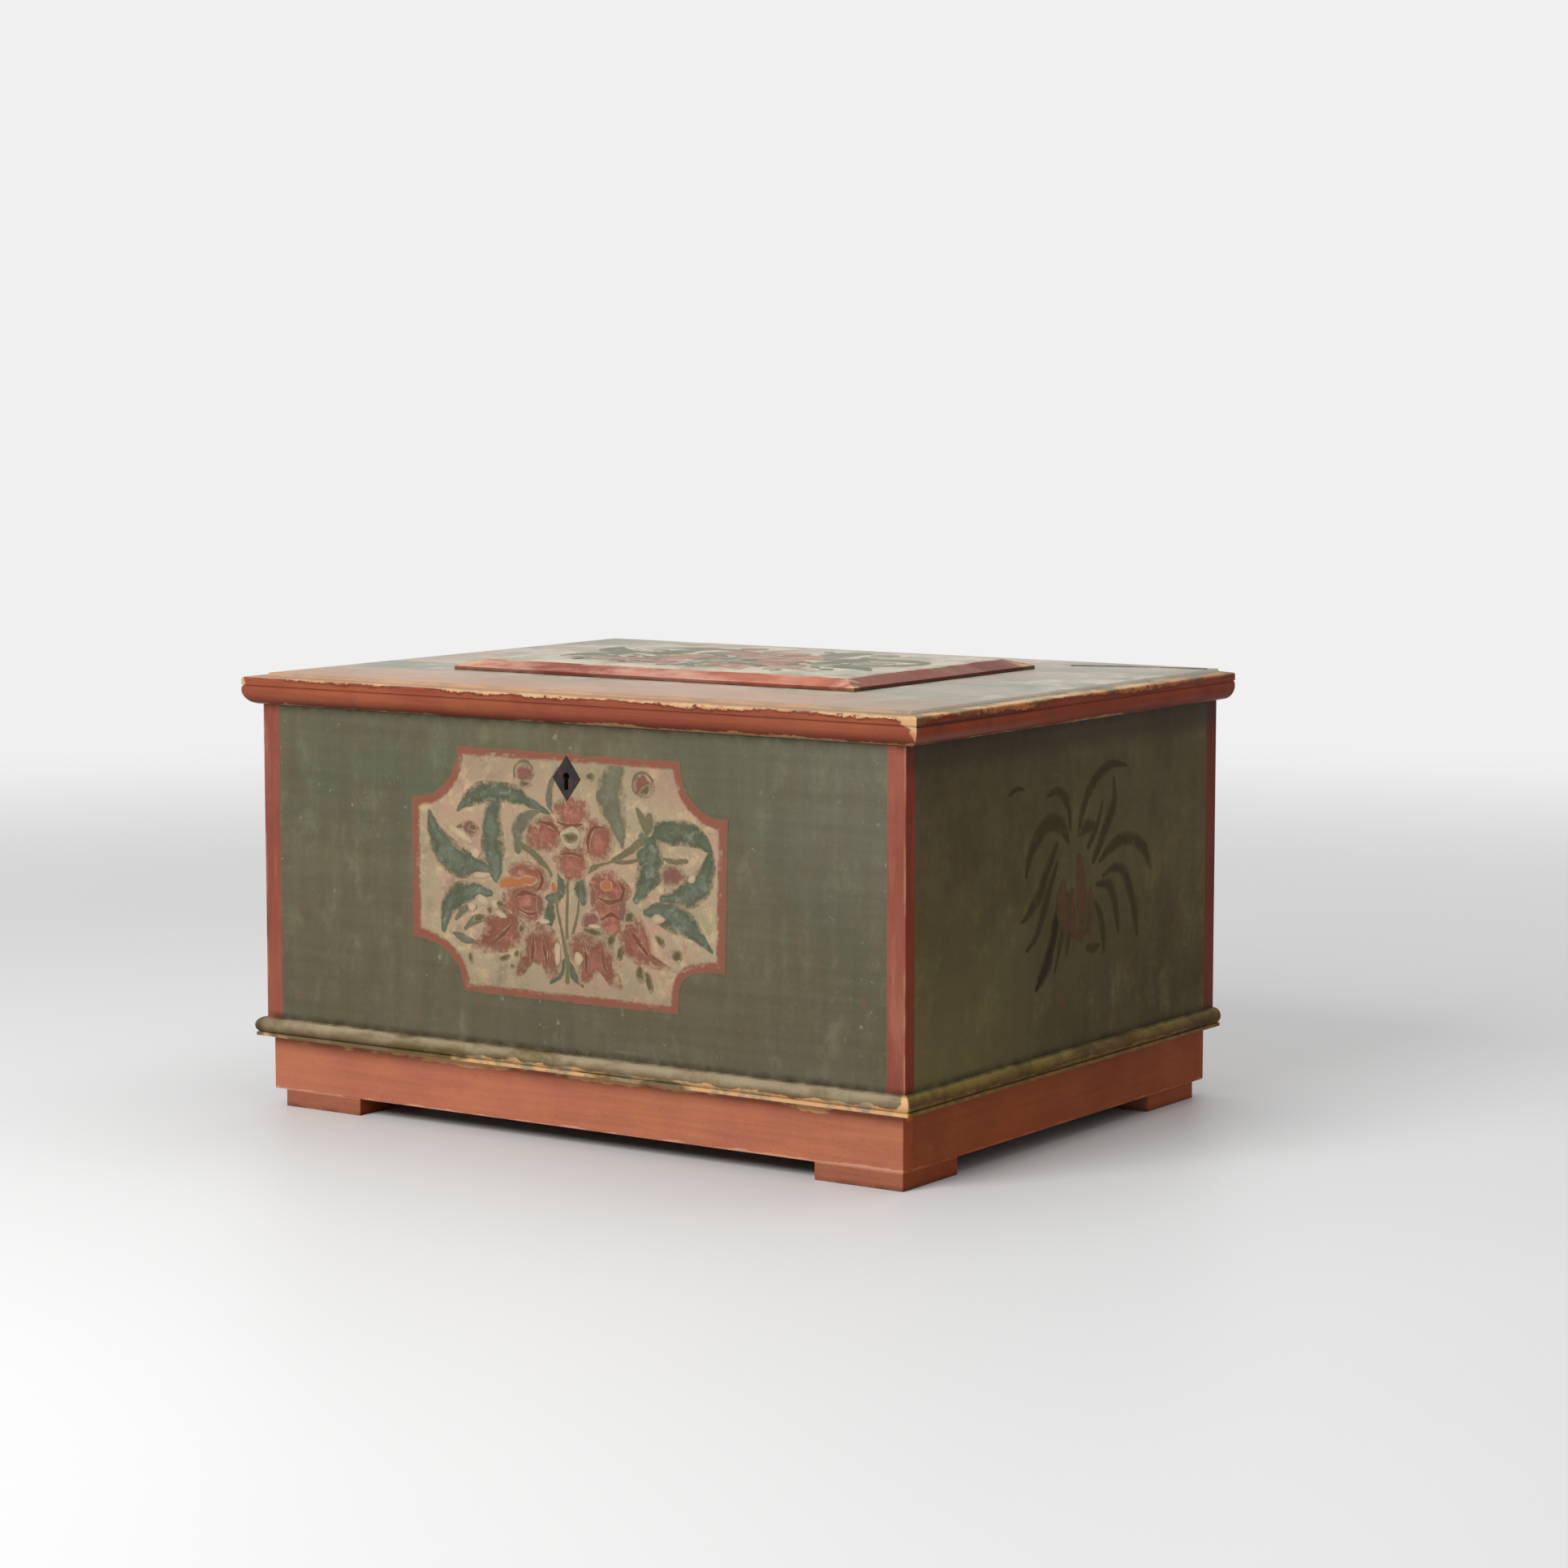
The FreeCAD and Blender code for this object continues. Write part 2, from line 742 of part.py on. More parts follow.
def hinge_pin(name, middle):
    pin = doc.addObject("Part::Cylinder", name)
    half = S["hinge_width"] / 2 + S["pin_overhang"]
    pin.setExpression("Radius", text_of(S["pin_radius"]))
    pin.setExpression("Height", text_of(half * 2))
    lying = FreeCAD.Rotation(FreeCAD.Vector(0, 1, 0), 90)
    pin.Placement = FreeCAD.Placement(vector(middle - half, hinge_y, hinge_z), lying)
    for axis, size in zip("xyz", (middle - half, hinge_y, hinge_z)):
        pin.setExpression(f"Placement.Base.{axis}", text_of(size))
    return pin


# Nails: square forged shanks with low four-sided heads

def nail_pattern():
    """One nail along Z: the head above the origin and the shank below it."""
    half_head = S["nail_head"] / 2
    half_shank = S["nail_shank"] / 2
    half_tip = S["nail_tip"] / 2
    head = doc.addObject("Part::Wedge", "nail_head_pattern")
    shank = doc.addObject("Part::Wedge", "nail_shank_pattern")
    wedges = (
        (head, 0, S["nail_head_height"], half_head, half_shank),
        (shank, -S["nail_length"], 0, half_tip, half_shank),
    )
    for wedge, low, high, low_half, high_half in wedges:
        settings = {
            "Xmin": -low_half, "Xmax": low_half, "Zmin": -low_half, "Zmax": low_half,
            "X2min": -high_half, "X2max": high_half, "Z2min": -high_half, "Z2max": high_half,
            "Ymin": low, "Ymax": high,
        }
        for target, size in settings.items():
            wedge.setExpression(target, text_of(size))
        wedge.Placement = FreeCAD.Placement(FreeCAD.Vector(), FreeCAD.Rotation(FreeCAD.Vector(1, 0, 0), 90))
    nail = doc.addObject("Part::Fuse", "nail_pattern")
    nail.Base = head
    nail.Tool = shank
    doc.recompute()
    return nail


def nail_group(name, nail, spots, head_direction):
    """Identical nails as separate solids, their heads turned to face a direction."""
    group = doc.addObject("Part::Feature", name)
    turn = FreeCAD.Rotation(FreeCAD.Vector(0, 0, 1), FreeCAD.Vector(*head_direction))
    copies = []
    for x, y, z in spots:
        copy = nail.Shape.copy()
        copy.Placement = FreeCAD.Placement(vector(x, y, z), turn)
        copies.append(copy)
    group.Shape = Part.makeCompound(copies)
    return group


def hinges(nail):
    """Both hinges with their nails; each strap is pierced where its nails pass."""
    lid_spots = []
    back_spots = []
    pieces = {}
    strap_foot = hinge_z + S["hinge_drop"] - S["strap_thickness"]
    strap_face = hinge_y - S["hinge_reach"] + S["strap_thickness"]
    middles = {"left": -S["hinge_place"], "right": S["hinge_place"]}
    for middle in middles.values():
        for row in range(STRAP_NAILS):
            lid_y = inner_back - S["lid_nail_first"] - S["lid_nail_step"] * row
            back_z = hinge_z - S["back_nail_first"] - S["back_nail_step"] * row
            lid_spots.append((middle, lid_y, strap_foot))
            back_spots.append((middle, strap_face, back_z))
    pieces["hinge_nails_lid"] = nail_group("hinge_nails_lid", nail, lid_spots, (0, 0, -1))
    pieces["hinge_nails_case"] = nail_group("hinge_nails_case", nail, back_spots, (0, 1, 0))
    for side, middle in middles.items():
        lid_blank = lid_strap(f"hinge_lid_blank_{side}")
        back_blank = back_strap(f"hinge_back_blank_{side}")
        for blank in (lid_blank, back_blank):
            place(blank, middle, hinge_y, hinge_z)
        lid_name = f"hinge_lid_strap_{side}"
        back_name = f"hinge_back_strap_{side}"
        pieces[lid_name] = cut(lid_name, lid_blank, pieces["hinge_nails_lid"])
        pieces[back_name] = cut(back_name, back_blank, pieces["hinge_nails_case"])
        pieces[f"hinge_pin_{side}"] = hinge_pin(f"hinge_pin_{side}", middle)
    return pieces


# Lock: a sheet-iron box behind the front board, its sliding bolt, and the staple on the lid

lock_left = -S["lock_plate_left"] + S["lock_margin"]
lock_right = S["lock_plate_right"] - S["lock_margin"]
lock_foot = S["lock_plate_foot"] + S["lock_margin"] - S["lock_sheet"]
lock_head = S["lock_plate_top"] - S["lock_head_margin"]
plate_face = inner_front + S["lock_sheet"]
cover_face = plate_face + S["lock_box_depth"]
staple_middle = plate_face + S["lock_box_depth"] / 2
staple_x = -S["staple_place"]


def lock_case(nails):
    """Back plate and four rim walls, with the keyhole and the slot for the staple."""
    body = new_body("lock_case_blank")
    plate = outline(body, "lock_plate", "XZ_Plane",
                    rectangle(-S["lock_plate_left"], S["lock_plate_foot"],
                              S["lock_plate_right"], S["lock_plate_top"]),
                    offset=-S["lock_sheet"])
    pad(body, plate, S["lock_sheet"])
    rim = outline(body, "lock_rim", "XZ_Plane", rectangle(lock_left, lock_foot, lock_right, lock_head),
                  offset=-S["lock_sheet"] - S["lock_box_depth"])
    pad(body, rim, S["lock_box_depth"])
    keyhole_cut(body, "lock_case")
    place(body, y=inner_front)
    sheet = S["lock_sheet"]
    hollow = box("lock_hollow", (lock_left + sheet, plate_face, lock_foot + sheet),
                 (lock_right - lock_left - sheet * 2, S["lock_box_depth"], lock_head - lock_foot - sheet * 2))
    slot_low = (staple_x - S["slot_width"] / 2, staple_middle - S["slot_depth"] / 2, lock_head - CLEAR)
    slot = box("lock_slot", slot_low, (S["slot_width"], S["slot_depth"], CLEAR * 2))
    return cut("lock_case", body, hollow, slot, nails)


def lock_bolt():
    """The bolt with its hanging tail, which the key's bit catches in a round notch."""
    body = new_body("lock_bolt")
    foot = S["bolt_foot"]
    top = foot + S["bolt_height"]
    tip = -S["bolt_tip"]
    tail_left = S["talon_left"]
    tail_right = tail_left + S["talon_width"]
    nose = S["bolt_nose"]
    corners = [
        (tip, foot + nose), (tip + nose, foot), (tail_left, foot), (tail_left, S["talon_foot"]),
        (tail_right, S["talon_foot"]), (tail_right, foot), (tip + S["bolt_length"], foot),
        (tip + S["bolt_length"], top), (tip + nose, top), (tip, top - nose),
    ]
    side = outline(body, "lock_bolt_side", "XZ_Plane", corners)
    pad(body, side, S["bolt_thickness"])
    notch = circle(body, "lock_bolt_notch", "XZ_Plane", tail_left + S["talon_width"] / 2,
                   S["talon_foot"], S["talon_notch"])
    pocket(body, notch)
    place(body, y=staple_middle + S["bolt_thickness"] / 2)
    return body


def lock_guide():
    """A block across the box, pierced for the bolt to slide through."""
    play = S["guide_play"]
    head = lock_head - S["lock_sheet"]
    block = box("lock_guide_block", (S["guide_left"], plate_face, S["guide_foot"]),
                (S["guide_width"], S["lock_box_depth"], head - S["guide_foot"]))
    way = box("lock_guide_way",
              (S["guide_left"] - play, staple_middle - S["bolt_thickness"] / 2 - play, S["bolt_foot"] - play),
              (S["guide_width"] + play * 2, S["bolt_thickness"] + play * 2, S["bolt_height"] + play * 2))
    return cut("lock_guide", block, way)


def lock_spring():
    """A bent leaf spring that bears on the bolt from above."""
    body = new_body("lock_spring")
    thick = S["spring_thickness"]
    head = lock_head - S["lock_sheet"]
    touch = S["bolt_foot"] + S["bolt_height"] + S["spring_play"]
    root_right = S["guide_left"]
    root_left = root_right - S["spring_foot"]
    bend = root_right - S["spring_reach"]
    curl = bend - S["spring_curl"]
    corners = [
        (root_right, head), (root_left, head), (bend, touch + thick), (curl, touch + thick * 2),
        (curl - thick, touch + thick), (bend, touch), (root_left + thick / 2, head - thick),
        (root_right, head - thick),
    ]
    side = outline(body, "lock_spring_side", "XZ_Plane", corners)
    pad(body, side, S["spring_width"], symmetric=True)
    place(body, y=staple_middle)
    return body


def lid_staple(nails):
    """A plate under the lid with a loop that hangs into the lock."""
    plate_low = S["rim_height"] - S["staple_thickness"]
    half_plate = S["staple_plate_length"] / 2
    half_width = S["staple_width"] / 2
    plate_front = staple_middle - S["staple_plate_depth"] / 2
    plate = box("staple_plate", (staple_x - half_plate, plate_front, plate_low),
                (S["staple_plate_length"], S["staple_plate_depth"], S["staple_thickness"]))
    loop = box("staple_loop", (staple_x - S["staple_bar"] / 2, staple_middle - half_width, S["staple_foot"]),
               (S["staple_bar"], S["staple_width"], plate_low - S["staple_foot"]))
    whole = doc.addObject("Part::Fuse", "staple_whole")
    whole.Base = plate
    whole.Tool = loop
    eye_low = (staple_x - S["staple_bar"], staple_middle - half_width + S["staple_leg"], S["eye_foot"])
    eye = box("staple_eye", eye_low, (S["staple_bar"] * 2, S["staple_width"] - S["staple_leg"] * 2,
                                      S["eye_top"] - S["eye_foot"]))
    return cut("lid_staple", whole, eye, nails)


def escutcheon():
    """A thin diamond of sheet iron round the keyhole."""
    body = new_body("escutcheon")
    half_x = S["escutcheon_width"] / 2
    half_z = S["escutcheon_height"] / 2
    level = S["keyhole_level"] - S["escutcheon_drop"]
    corners = [(half_x, level), (0, level + half_z), (-half_x, level), (0, level - half_z)]
    diamond = outline(body, "escutcheon_face", "XZ_Plane", corners)
    pad(body, diamond, S["escutcheon_thickness"])
    keyhole_cut(body, "escutcheon")
    place(body, y=front_face)
    return body


def lock_pieces(nail):
    inset = S["lock_nail_inset"]
    corners_x = (-S["lock_plate_left"] + inset, S["lock_plate_right"] - inset)
    corners_z = (S["lock_plate_foot"] + inset, S["lock_plate_top"] - inset)
    lock_spots = [(x, plate_face, z) for x in corners_x for z in corners_z]
    lock_nails = nail_group("lock_nails", nail, lock_spots, (0, 1, 0))
    staple_side = S["staple_plate_length"] / 2 - S["staple_nail_inset"]
    staple_low = S["rim_height"] - S["staple_thickness"]
    staple_spots = [(staple_x + staple_side * side, staple_middle, staple_low) for side in (-1, 1)]
    staple_nails = nail_group("staple_nails", nail, staple_spots, (0, 0, -1))
    cover = box("lock_cover", (lock_left, cover_face, lock_foot),
                (lock_right - lock_left, S["lock_sheet"], lock_head - lock_foot))
    return {
        "lock_nails": lock_nails,
        "staple_nails": staple_nails,
        "lock_case": lock_case(lock_nails),
        "lock_cover": cover,
        "lock_bolt": lock_bolt(),
        "lock_guide": lock_guide(),
        "lock_spring": lock_spring(),
        "lid_staple": lid_staple(staple_nails),
        "escutcheon": escutcheon(),
    }


def assemble():
    """Every sub-part of the chest, by its node name."""
    till_side, till_floor = till_pieces()
    nail = nail_pattern()
    pieces = case_walls(till_side, till_floor)
    pieces["till_side"] = till_side
    pieces["till_floor"] = till_floor
    pieces.update(bottom_boards())
    pieces.update(base_mouldings())
    pieces.update(plinth())
    pieces.update(feet())
    pieces.update(lid_boards())
    pieces.update(battens())
    pieces.update(lid_mouldings())
    pieces["raised_panel"] = raised_panel()
    pieces.update(hinges(nail))
    pieces.update(lock_pieces(nail))
    doc.recompute()
    return pieces


def check(pieces):
    """Stop if any object failed, or if a sub-part isn't whole and valid."""
    for item in doc.Objects:
        if "Invalid" in item.State or "Error" in item.State:
            raise RuntimeError(f"{item.Name} failed: {item.State}")
    for name, item in pieces.items():
        if item.Shape.isNull() or not item.Shape.isValid():
            raise RuntimeError(f"{name} has no valid shape")
        if not item.Shape.Solids:
            raise RuntimeError(f"{name} has no solid")


def write(pieces):
    os.makedirs("parts", exist_ok=True)
    for name, item in pieces.items():
        item.Label = name
        item.Shape.exportStep(f"parts/{name}.step")
        print(f"{name}: {len(item.Shape.Solids)} solid(s), {item.Shape.Volume / 1000:.1f} cm3")


chest = assemble()
check(chest)
write(chest)
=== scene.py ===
"""Painted storage chest: the finish of every board, the painted ornament, the light and the camera.

Lengths are in mm until they reach Blender, which takes metres. Noise scales, the floor, the lights and
the camera are in metres.
"""
import math

import bmesh
import bpy
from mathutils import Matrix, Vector


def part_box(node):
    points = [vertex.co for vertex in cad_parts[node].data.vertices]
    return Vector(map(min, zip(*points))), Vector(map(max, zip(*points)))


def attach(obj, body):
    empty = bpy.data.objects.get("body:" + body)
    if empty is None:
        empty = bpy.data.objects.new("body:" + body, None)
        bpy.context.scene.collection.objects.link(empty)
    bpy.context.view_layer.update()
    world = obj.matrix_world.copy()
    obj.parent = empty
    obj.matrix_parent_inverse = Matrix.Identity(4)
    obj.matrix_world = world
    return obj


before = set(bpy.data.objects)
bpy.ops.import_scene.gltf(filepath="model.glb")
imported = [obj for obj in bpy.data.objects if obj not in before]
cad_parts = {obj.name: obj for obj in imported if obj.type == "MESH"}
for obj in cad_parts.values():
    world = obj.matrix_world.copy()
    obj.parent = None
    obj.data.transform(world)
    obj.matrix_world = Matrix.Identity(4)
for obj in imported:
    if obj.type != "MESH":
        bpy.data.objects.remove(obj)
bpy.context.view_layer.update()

MM = 0.001
X, Y, Z = range(3)


def low(node, axis):
    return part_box(node)[0][axis] / MM


def high(node, axis):
    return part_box(node)[1][axis] / MM


def middle_of(node, axis):
    return (low(node, axis) + high(node, axis)) / 2


# Places read from the parts in model.glb
END = high("front_board", X)
FRONT = low("front_board", Y)
BACK = high("back_board", Y)
WALL_FOOT = low("front_board", Z)
RIM = high("front_board", Z)
LID_TOP = high("lid_board_front", Z)
LID_END = high("lid_moulding_front", X)
LID_FRONT = low("lid_moulding_front", Y)
MOULDING_FOOT = low("lid_moulding_front", Z)
MOULDING_TOP = high("lid_moulding_front", Z)
PLINTH_FOOT = low("plinth_front", Z)
PLINTH_TOP = high("plinth_front", Z)
PANEL_TOP = high("raised_panel", Z)
KEYHOLE_LEVEL = middle_of("escutcheon", Z)

# Colours as they look on a screen, out of 255
WHITE = (255, 255, 255)
GREENS = ((99, 95, 74), (91, 92, 74))
GREEN_BROWN = (96, 85, 66)
GREEN_LOW = (90, 84, 66)
GREEN_SPECK = (140, 142, 114)
GREEN_FADED = (106, 103, 90)
BRUSH_SHADE = (232, 231, 228)
STREAK_SHADE = (226, 224, 220)
END_SHADE = (68, 58, 36)
SHADOW = (30, 22, 12)
LID_GREENS_AND_SHEEN = ((138, 134, 116), (122, 126, 110), (156, 142, 122))
LID_GREEN_DEEP = (108, 114, 94)
LID_PALE = (190, 180, 162)
LID_PINK = (174, 148, 132)
LID_TAN = (160, 119, 90)
LID_ROSE = (200, 156, 134)
PAINTED_LIGHT_PALE = (250, 244, 230)
RED = (138, 69, 50)
RED_ORANGE = (152, 84, 56)
RED_MAUVE = (136, 70, 56)
RED_DEEP = (92, 42, 28)
# Painted highlight for the end mouldings' cove
COVE_HIGHLIGHT = (146, 106, 94)
STRIPE_REDS = ((154, 87, 70), (134, 72, 58), (142, 80, 68))
STRIPE_WORN_AND_HIGHLIGHT = (176, 122, 98)
SALMON = (184, 112, 86)
SCUFFED_ROSE = (208, 154, 128)
CREAM = (198, 152, 102)
CREAM_PALE = (206, 174, 132)
PLINTH_CREAM = (216, 170, 120)
RUBBED_BROWN = (158, 104, 62)
OLIVE = (128, 110, 82)
OLIVE_BROWN = (108, 92, 58)
OLIVE_PALE = (156, 142, 116)
OLIVE_SHADE = (88, 72, 42)
OLIVE_DARK = (60, 46, 24)
GROUNDS = ((158, 141, 114), (164, 135, 112))
GROUND_GREEN = (145, 134, 107)
PINES = ((184, 142, 94), (154, 110, 66))
PINE_AGED = (152, 118, 80)
# A dark brown for dirt, also used for painted shade along corners
DIRT_AND_SHADE = (44, 34, 24)
IRON = (44, 42, 44)
IRON_LIGHT = (84, 82, 84)
IRON_WARM = (60, 57, 57)
RUST = (92, 58, 40)
STEEL = (128, 122, 116)
BACKDROP = (240, 240, 240)
# Painted shade: tints that darken and warm the faces looking left or right
END_SHADE_TINT = (247.0, 224.6, 173.4)
RED_END_SHADE_TINT = (250.5, 195.7, 139.4)


def linear(colour):
    """A screen colour as the values that a shader takes."""
    shares = [part / 255 for part in colour]
    return (*(part / 12.92 if part <= 0.04045 else ((part + 0.055) / 1.055) ** 2.4 for part in shares), 1)


class Value:
    """A number or colour that varies over a surface: a node's output, with its arithmetic."""

    def __init__(self, nodes, socket):
        self.nodes = nodes
        self.socket = socket

    def __add__(self, other):
        return self.nodes.calc("ADD", self, other)

    def __sub__(self, other):
        return self.nodes.calc("SUBTRACT", self, other)

    def __rsub__(self, other):
        return self.nodes.calc("SUBTRACT", other, self)

    def __mul__(self, other):
        """Where both masks lie."""
        return self.nodes.calc("MULTIPLY", self, other)

    def __or__(self, other):
        """Where either mask lies."""
        return self.nodes.calc("MAXIMUM", self, other)

    def __abs__(self):
        return self.nodes.calc("ABSOLUTE", self)

    def rise(self, start, end):
        """0 before start and 1 past end, smooth between; start may be the higher one."""
        inputs = {0: self, 1: start, 2: end}
        return self.nodes.value("ShaderNodeMapRange", inputs, interpolation_type="SMOOTHSTEP")

    def band(self, start, full, fade, end):
        """1 from full to fade, and 0 outside start and end."""
        return self.rise(start, full) * self.rise(end, fade)

    def span(self, start, end):
        """A value from 0 to 1, spread evenly from start to end."""
        return self * (end - start) + start

    def swing(self, size):
        """A value from 0 to 1 as a swing of this size about nothing."""
        return self.span(-size / 2, size / 2)

    def coat(self, tone, mask, amount=1.0):
        """This colour with a tone laid over it where the mask says."""
        return self.nodes.blend(mask * amount, self, tone)

    def coats(self, *coats):
        """This colour under several coats of (tone, mask, amount), the last one on top."""
        colour = self
        for tone, mask, amount in coats:
            colour = colour.coat(tone, mask, amount)
        return colour


class Nodes:
    """A node tree while it is built."""

    def __init__(self, tree):
        self.tree = tree
        tree.nodes.clear()

    def add(self, kind, inputs=(), **settings):
        """A node with its settings, and with its inputs by number or name."""
        node = self.tree.nodes.new(kind)
        for key, setting in settings.items():
            setattr(node, key, setting)
        for key, given in dict(inputs).items():
            socket = node.inputs[key]
            if isinstance(given, Value):
                self.tree.links.new(given.socket, socket)
            else:
                socket.default_value = linear(given) if socket.type == "RGBA" else given
        return node

    def value(self, kind, inputs=(), output=0, **settings):
        return Value(self, self.add(kind, inputs, **settings).outputs[output])

    def calc(self, operation, first, second=0.0):
        return self.value("ShaderNodeMath", {0: first, 1: second}, operation=operation)

    def mix(self, factor, first, second):
        return self.value("ShaderNodeMix", {0: factor, 2: first, 3: second}, data_type="FLOAT")

    def blend(self, factor, first, second, kind="MIX"):
        inputs = {0: factor, 6: first, 7: second}
        return self.value("ShaderNodeMix", inputs, 2, data_type="RGBA", blend_type=kind)

    def seen(self):
        """1 for what the camera sees, straight, in gloss or through glass."""
        rays = self.add("ShaderNodeLightPath")
        kinds = ("Is Camera Ray", "Is Glossy Ray", "Is Transmission Ray")
        straight, gloss, through = (Value(self, rays.outputs[kind]) for kind in kinds)
        return straight | gloss | through

    def show(self, target, factor, first, second):
        """Ends the tree with two shaders mixed."""
        mixed = self.value("ShaderNodeMixShader", {0: factor, 1: first, 2: second})
        self.add(target, {"Surface": mixed})


class Finish(Nodes):
    """One material while it is built, with what its masks use: the place, its distances out from the middle,
    in from the case's ends and back from its front, and 1 where a face looks left or right."""

    def __init__(self, name):
        self.material = bpy.data.materials.new(name)
        self.material.use_nodes = True
        super().__init__(self.material.node_tree)
        coordinates = self.add("ShaderNodeTexCoord").outputs
        self.place = Value(self, coordinates["Object"])
        self.x, self.y, self.z = (part * (1 / MM) for part in self.parts(self.place))
        self.across = abs(self.x)
        self.inside = END - self.across
        self.behind = self.y - FRONT
        facing = self.parts(Value(self, coordinates["Normal"]))
        self.to_end = abs(facing[X]).rise(0.55, 0.80)

    def parts(self, vector):
        outputs = self.add("ShaderNodeSeparateXYZ", {0: vector}).outputs
        return [Value(self, socket) for socket in outputs]

    def moved(self, stretch, shift):
        return self.value("ShaderNodeMapping", {"Vector": self.place, "Scale": stretch, "Location": shift})

    def noise(self, scale, detail=3.0, stretch=(1, 1, 1), offset=0.0, rough=0.55, warp=0.0):
        """Noise from 0 to 1; stretch multiplies the scale along each axis."""
        inputs = {"Vector": self.moved(stretch, (offset, offset * 0.7, offset * 0.3)), "Scale": scale,
                  "Detail": detail, "Roughness": rough, "Distortion": warp}
        return self.value("ShaderNodeTexNoise", inputs)

    def spots(self, start, end, scale, detail=3.0, stretch=(1, 1, 1), offset=0.0, rough=0.55):
        """A mask of patches, where the noise lies past start."""
        return self.noise(scale, detail, stretch, offset, rough).rise(start, end)

    def along(self, axis, scale, ratio, detail=4.0, offset=0.0):
        """Noise drawn out along one axis, as grain or a brush leaves it."""
        stretch = [ratio] * 3
        stretch[axis] = 1
        return self.noise(scale, detail, stretch, offset)

    def close(self, colour, roughness, height, relief, metallic=0.0, specular=0.10, depth=0.5):
        """Ends the material: relief is the bump's strength, and depth its greatest height."""
        bump = self.value("ShaderNodeBump", {"Strength": relief, "Distance": depth * MM, "Height": height})
        shader = self.value("ShaderNodeBsdfPrincipled", {
            "Base Color": colour, "Roughness": roughness, "Metallic": metallic,
            "Specular IOR Level": specular, "Normal": bump})
        self.add("ShaderNodeOutputMaterial", {"Surface": shader})
        return self.material


# Surfaces that several materials share: most give a colour and a height

def pine(finish, axis, offset=0.0):
    """Aged bare pine with its grain along an axis."""
    squeeze = [1, 1, 1]
    squeeze[axis] = 0.16
    moved = finish.moved(squeeze, (0.03 + offset, 0.05 + offset, -0.31 + offset))
    inputs = {"Vector": moved, "Scale": 22, "Distortion": 5.5, "Detail": 3, "Detail Scale": 1.6}
    rings = finish.value("ShaderNodeTexWave", inputs, "Fac", wave_type="RINGS", rings_direction="XYZ"[axis])
    late = rings.rise(0.45, 0.98)
    fibre = finish.along(axis, 14, 34, 5, offset)
    colour = finish.blend(late, *PINES).coats(
        (PINE_AGED, fibre.rise(0.35, 0.75), 1),
        (DIRT_AND_SHADE, finish.spots(0.45, 0.75, 5, 5, offset=offset + 3), 0.5))
    return colour, late.span(0, 0.5) + fibre


def gritty(finish, colour, offset):
    """Fine dirt in the pores of old paint: the colour, and the grit itself."""
    grit = finish.noise(420, 3, offset=offset)
    return colour.coat(DIRT_AND_SHADE, grit.rise(0.56, 0.74), 0.20), grit


def brushed(finish, axis, tones, offset):
    """Old oil paint over boards: broad mottling, brush streaks and grit."""
    first, second, third = tones
    broad = finish.noise(4.5, 4, offset=offset, warp=0.4)
    colour = finish.blend(broad.rise(0.38, 0.62), first, second)
    colour = colour.coat(third, finish.spots(0.42, 0.68, 26, 5, offset=offset + 2, rough=0.65), 0.75)
    streaks = finish.along(axis, 9, 22, 5, offset + 5)
    shade = finish.blend(streaks.rise(0.2, 0.85), STREAK_SHADE, WHITE)
    colour = finish.blend(0.75, colour, shade, "MULTIPLY")
    colour, grit = gritty(finish, colour, offset + 7)
    return colour, streaks + grit.span(0, 0.35)


def dirt_and_shade_line(finish, mask, amount):
    """A dark coat along a corner or edge, thinning out raggedly: dirt, and painted shade where parts meet."""
    return DIRT_AND_SHADE, mask * finish.spots(0.2, 0.7, 60, 4, offset=9), amount


def paint_end_shade(finish, colour, tint=END_SHADE_TINT):
    """Painted shade: faces that look left or right are darkened and turned browner, as the ends look in
    shade.
    """
    return finish.blend(1.0, colour, finish.blend(finish.to_end, WHITE, tint), "MULTIPLY")


def green_ground(finish):
    """The grey-green paint of the walls."""
    x, z = finish.x, finish.z
    broad = finish.noise(4.2, 5, offset=11, warp=0.5)
    colour = finish.blend(broad.rise(0.40, 0.62), *GREENS).coats(
        (GREEN_BROWN, finish.spots(0.44, 0.64, 19, 6, offset=12, rough=0.7), 0.6),
        (GREEN_LOW, z.rise(320, 130), 0.6),
        (GREEN_FADED, x.rise(160, 360) * z.rise(220, 340), 0.5),
        (GREEN_SPECK, finish.spots(0.50, 0.72, 33, 6, (1, 1, 0.6), 15, 0.72), 0.20))
    strokes = finish.along(Z, 4, 14, 5, 16) + finish.noise(5, 5, (1, 1, 16), 17)
    shade = finish.blend(strokes.rise(0.68, 1.28), BRUSH_SHADE, WHITE)
    colour = finish.blend(0.8, colour, shade, "MULTIPLY")
    colour, grit = gritty(finish, marked_green(finish, colour), 39)
    return paint_end_shade(finish, colour), strokes.span(0, 0.5) + grit.span(0, 0.3)


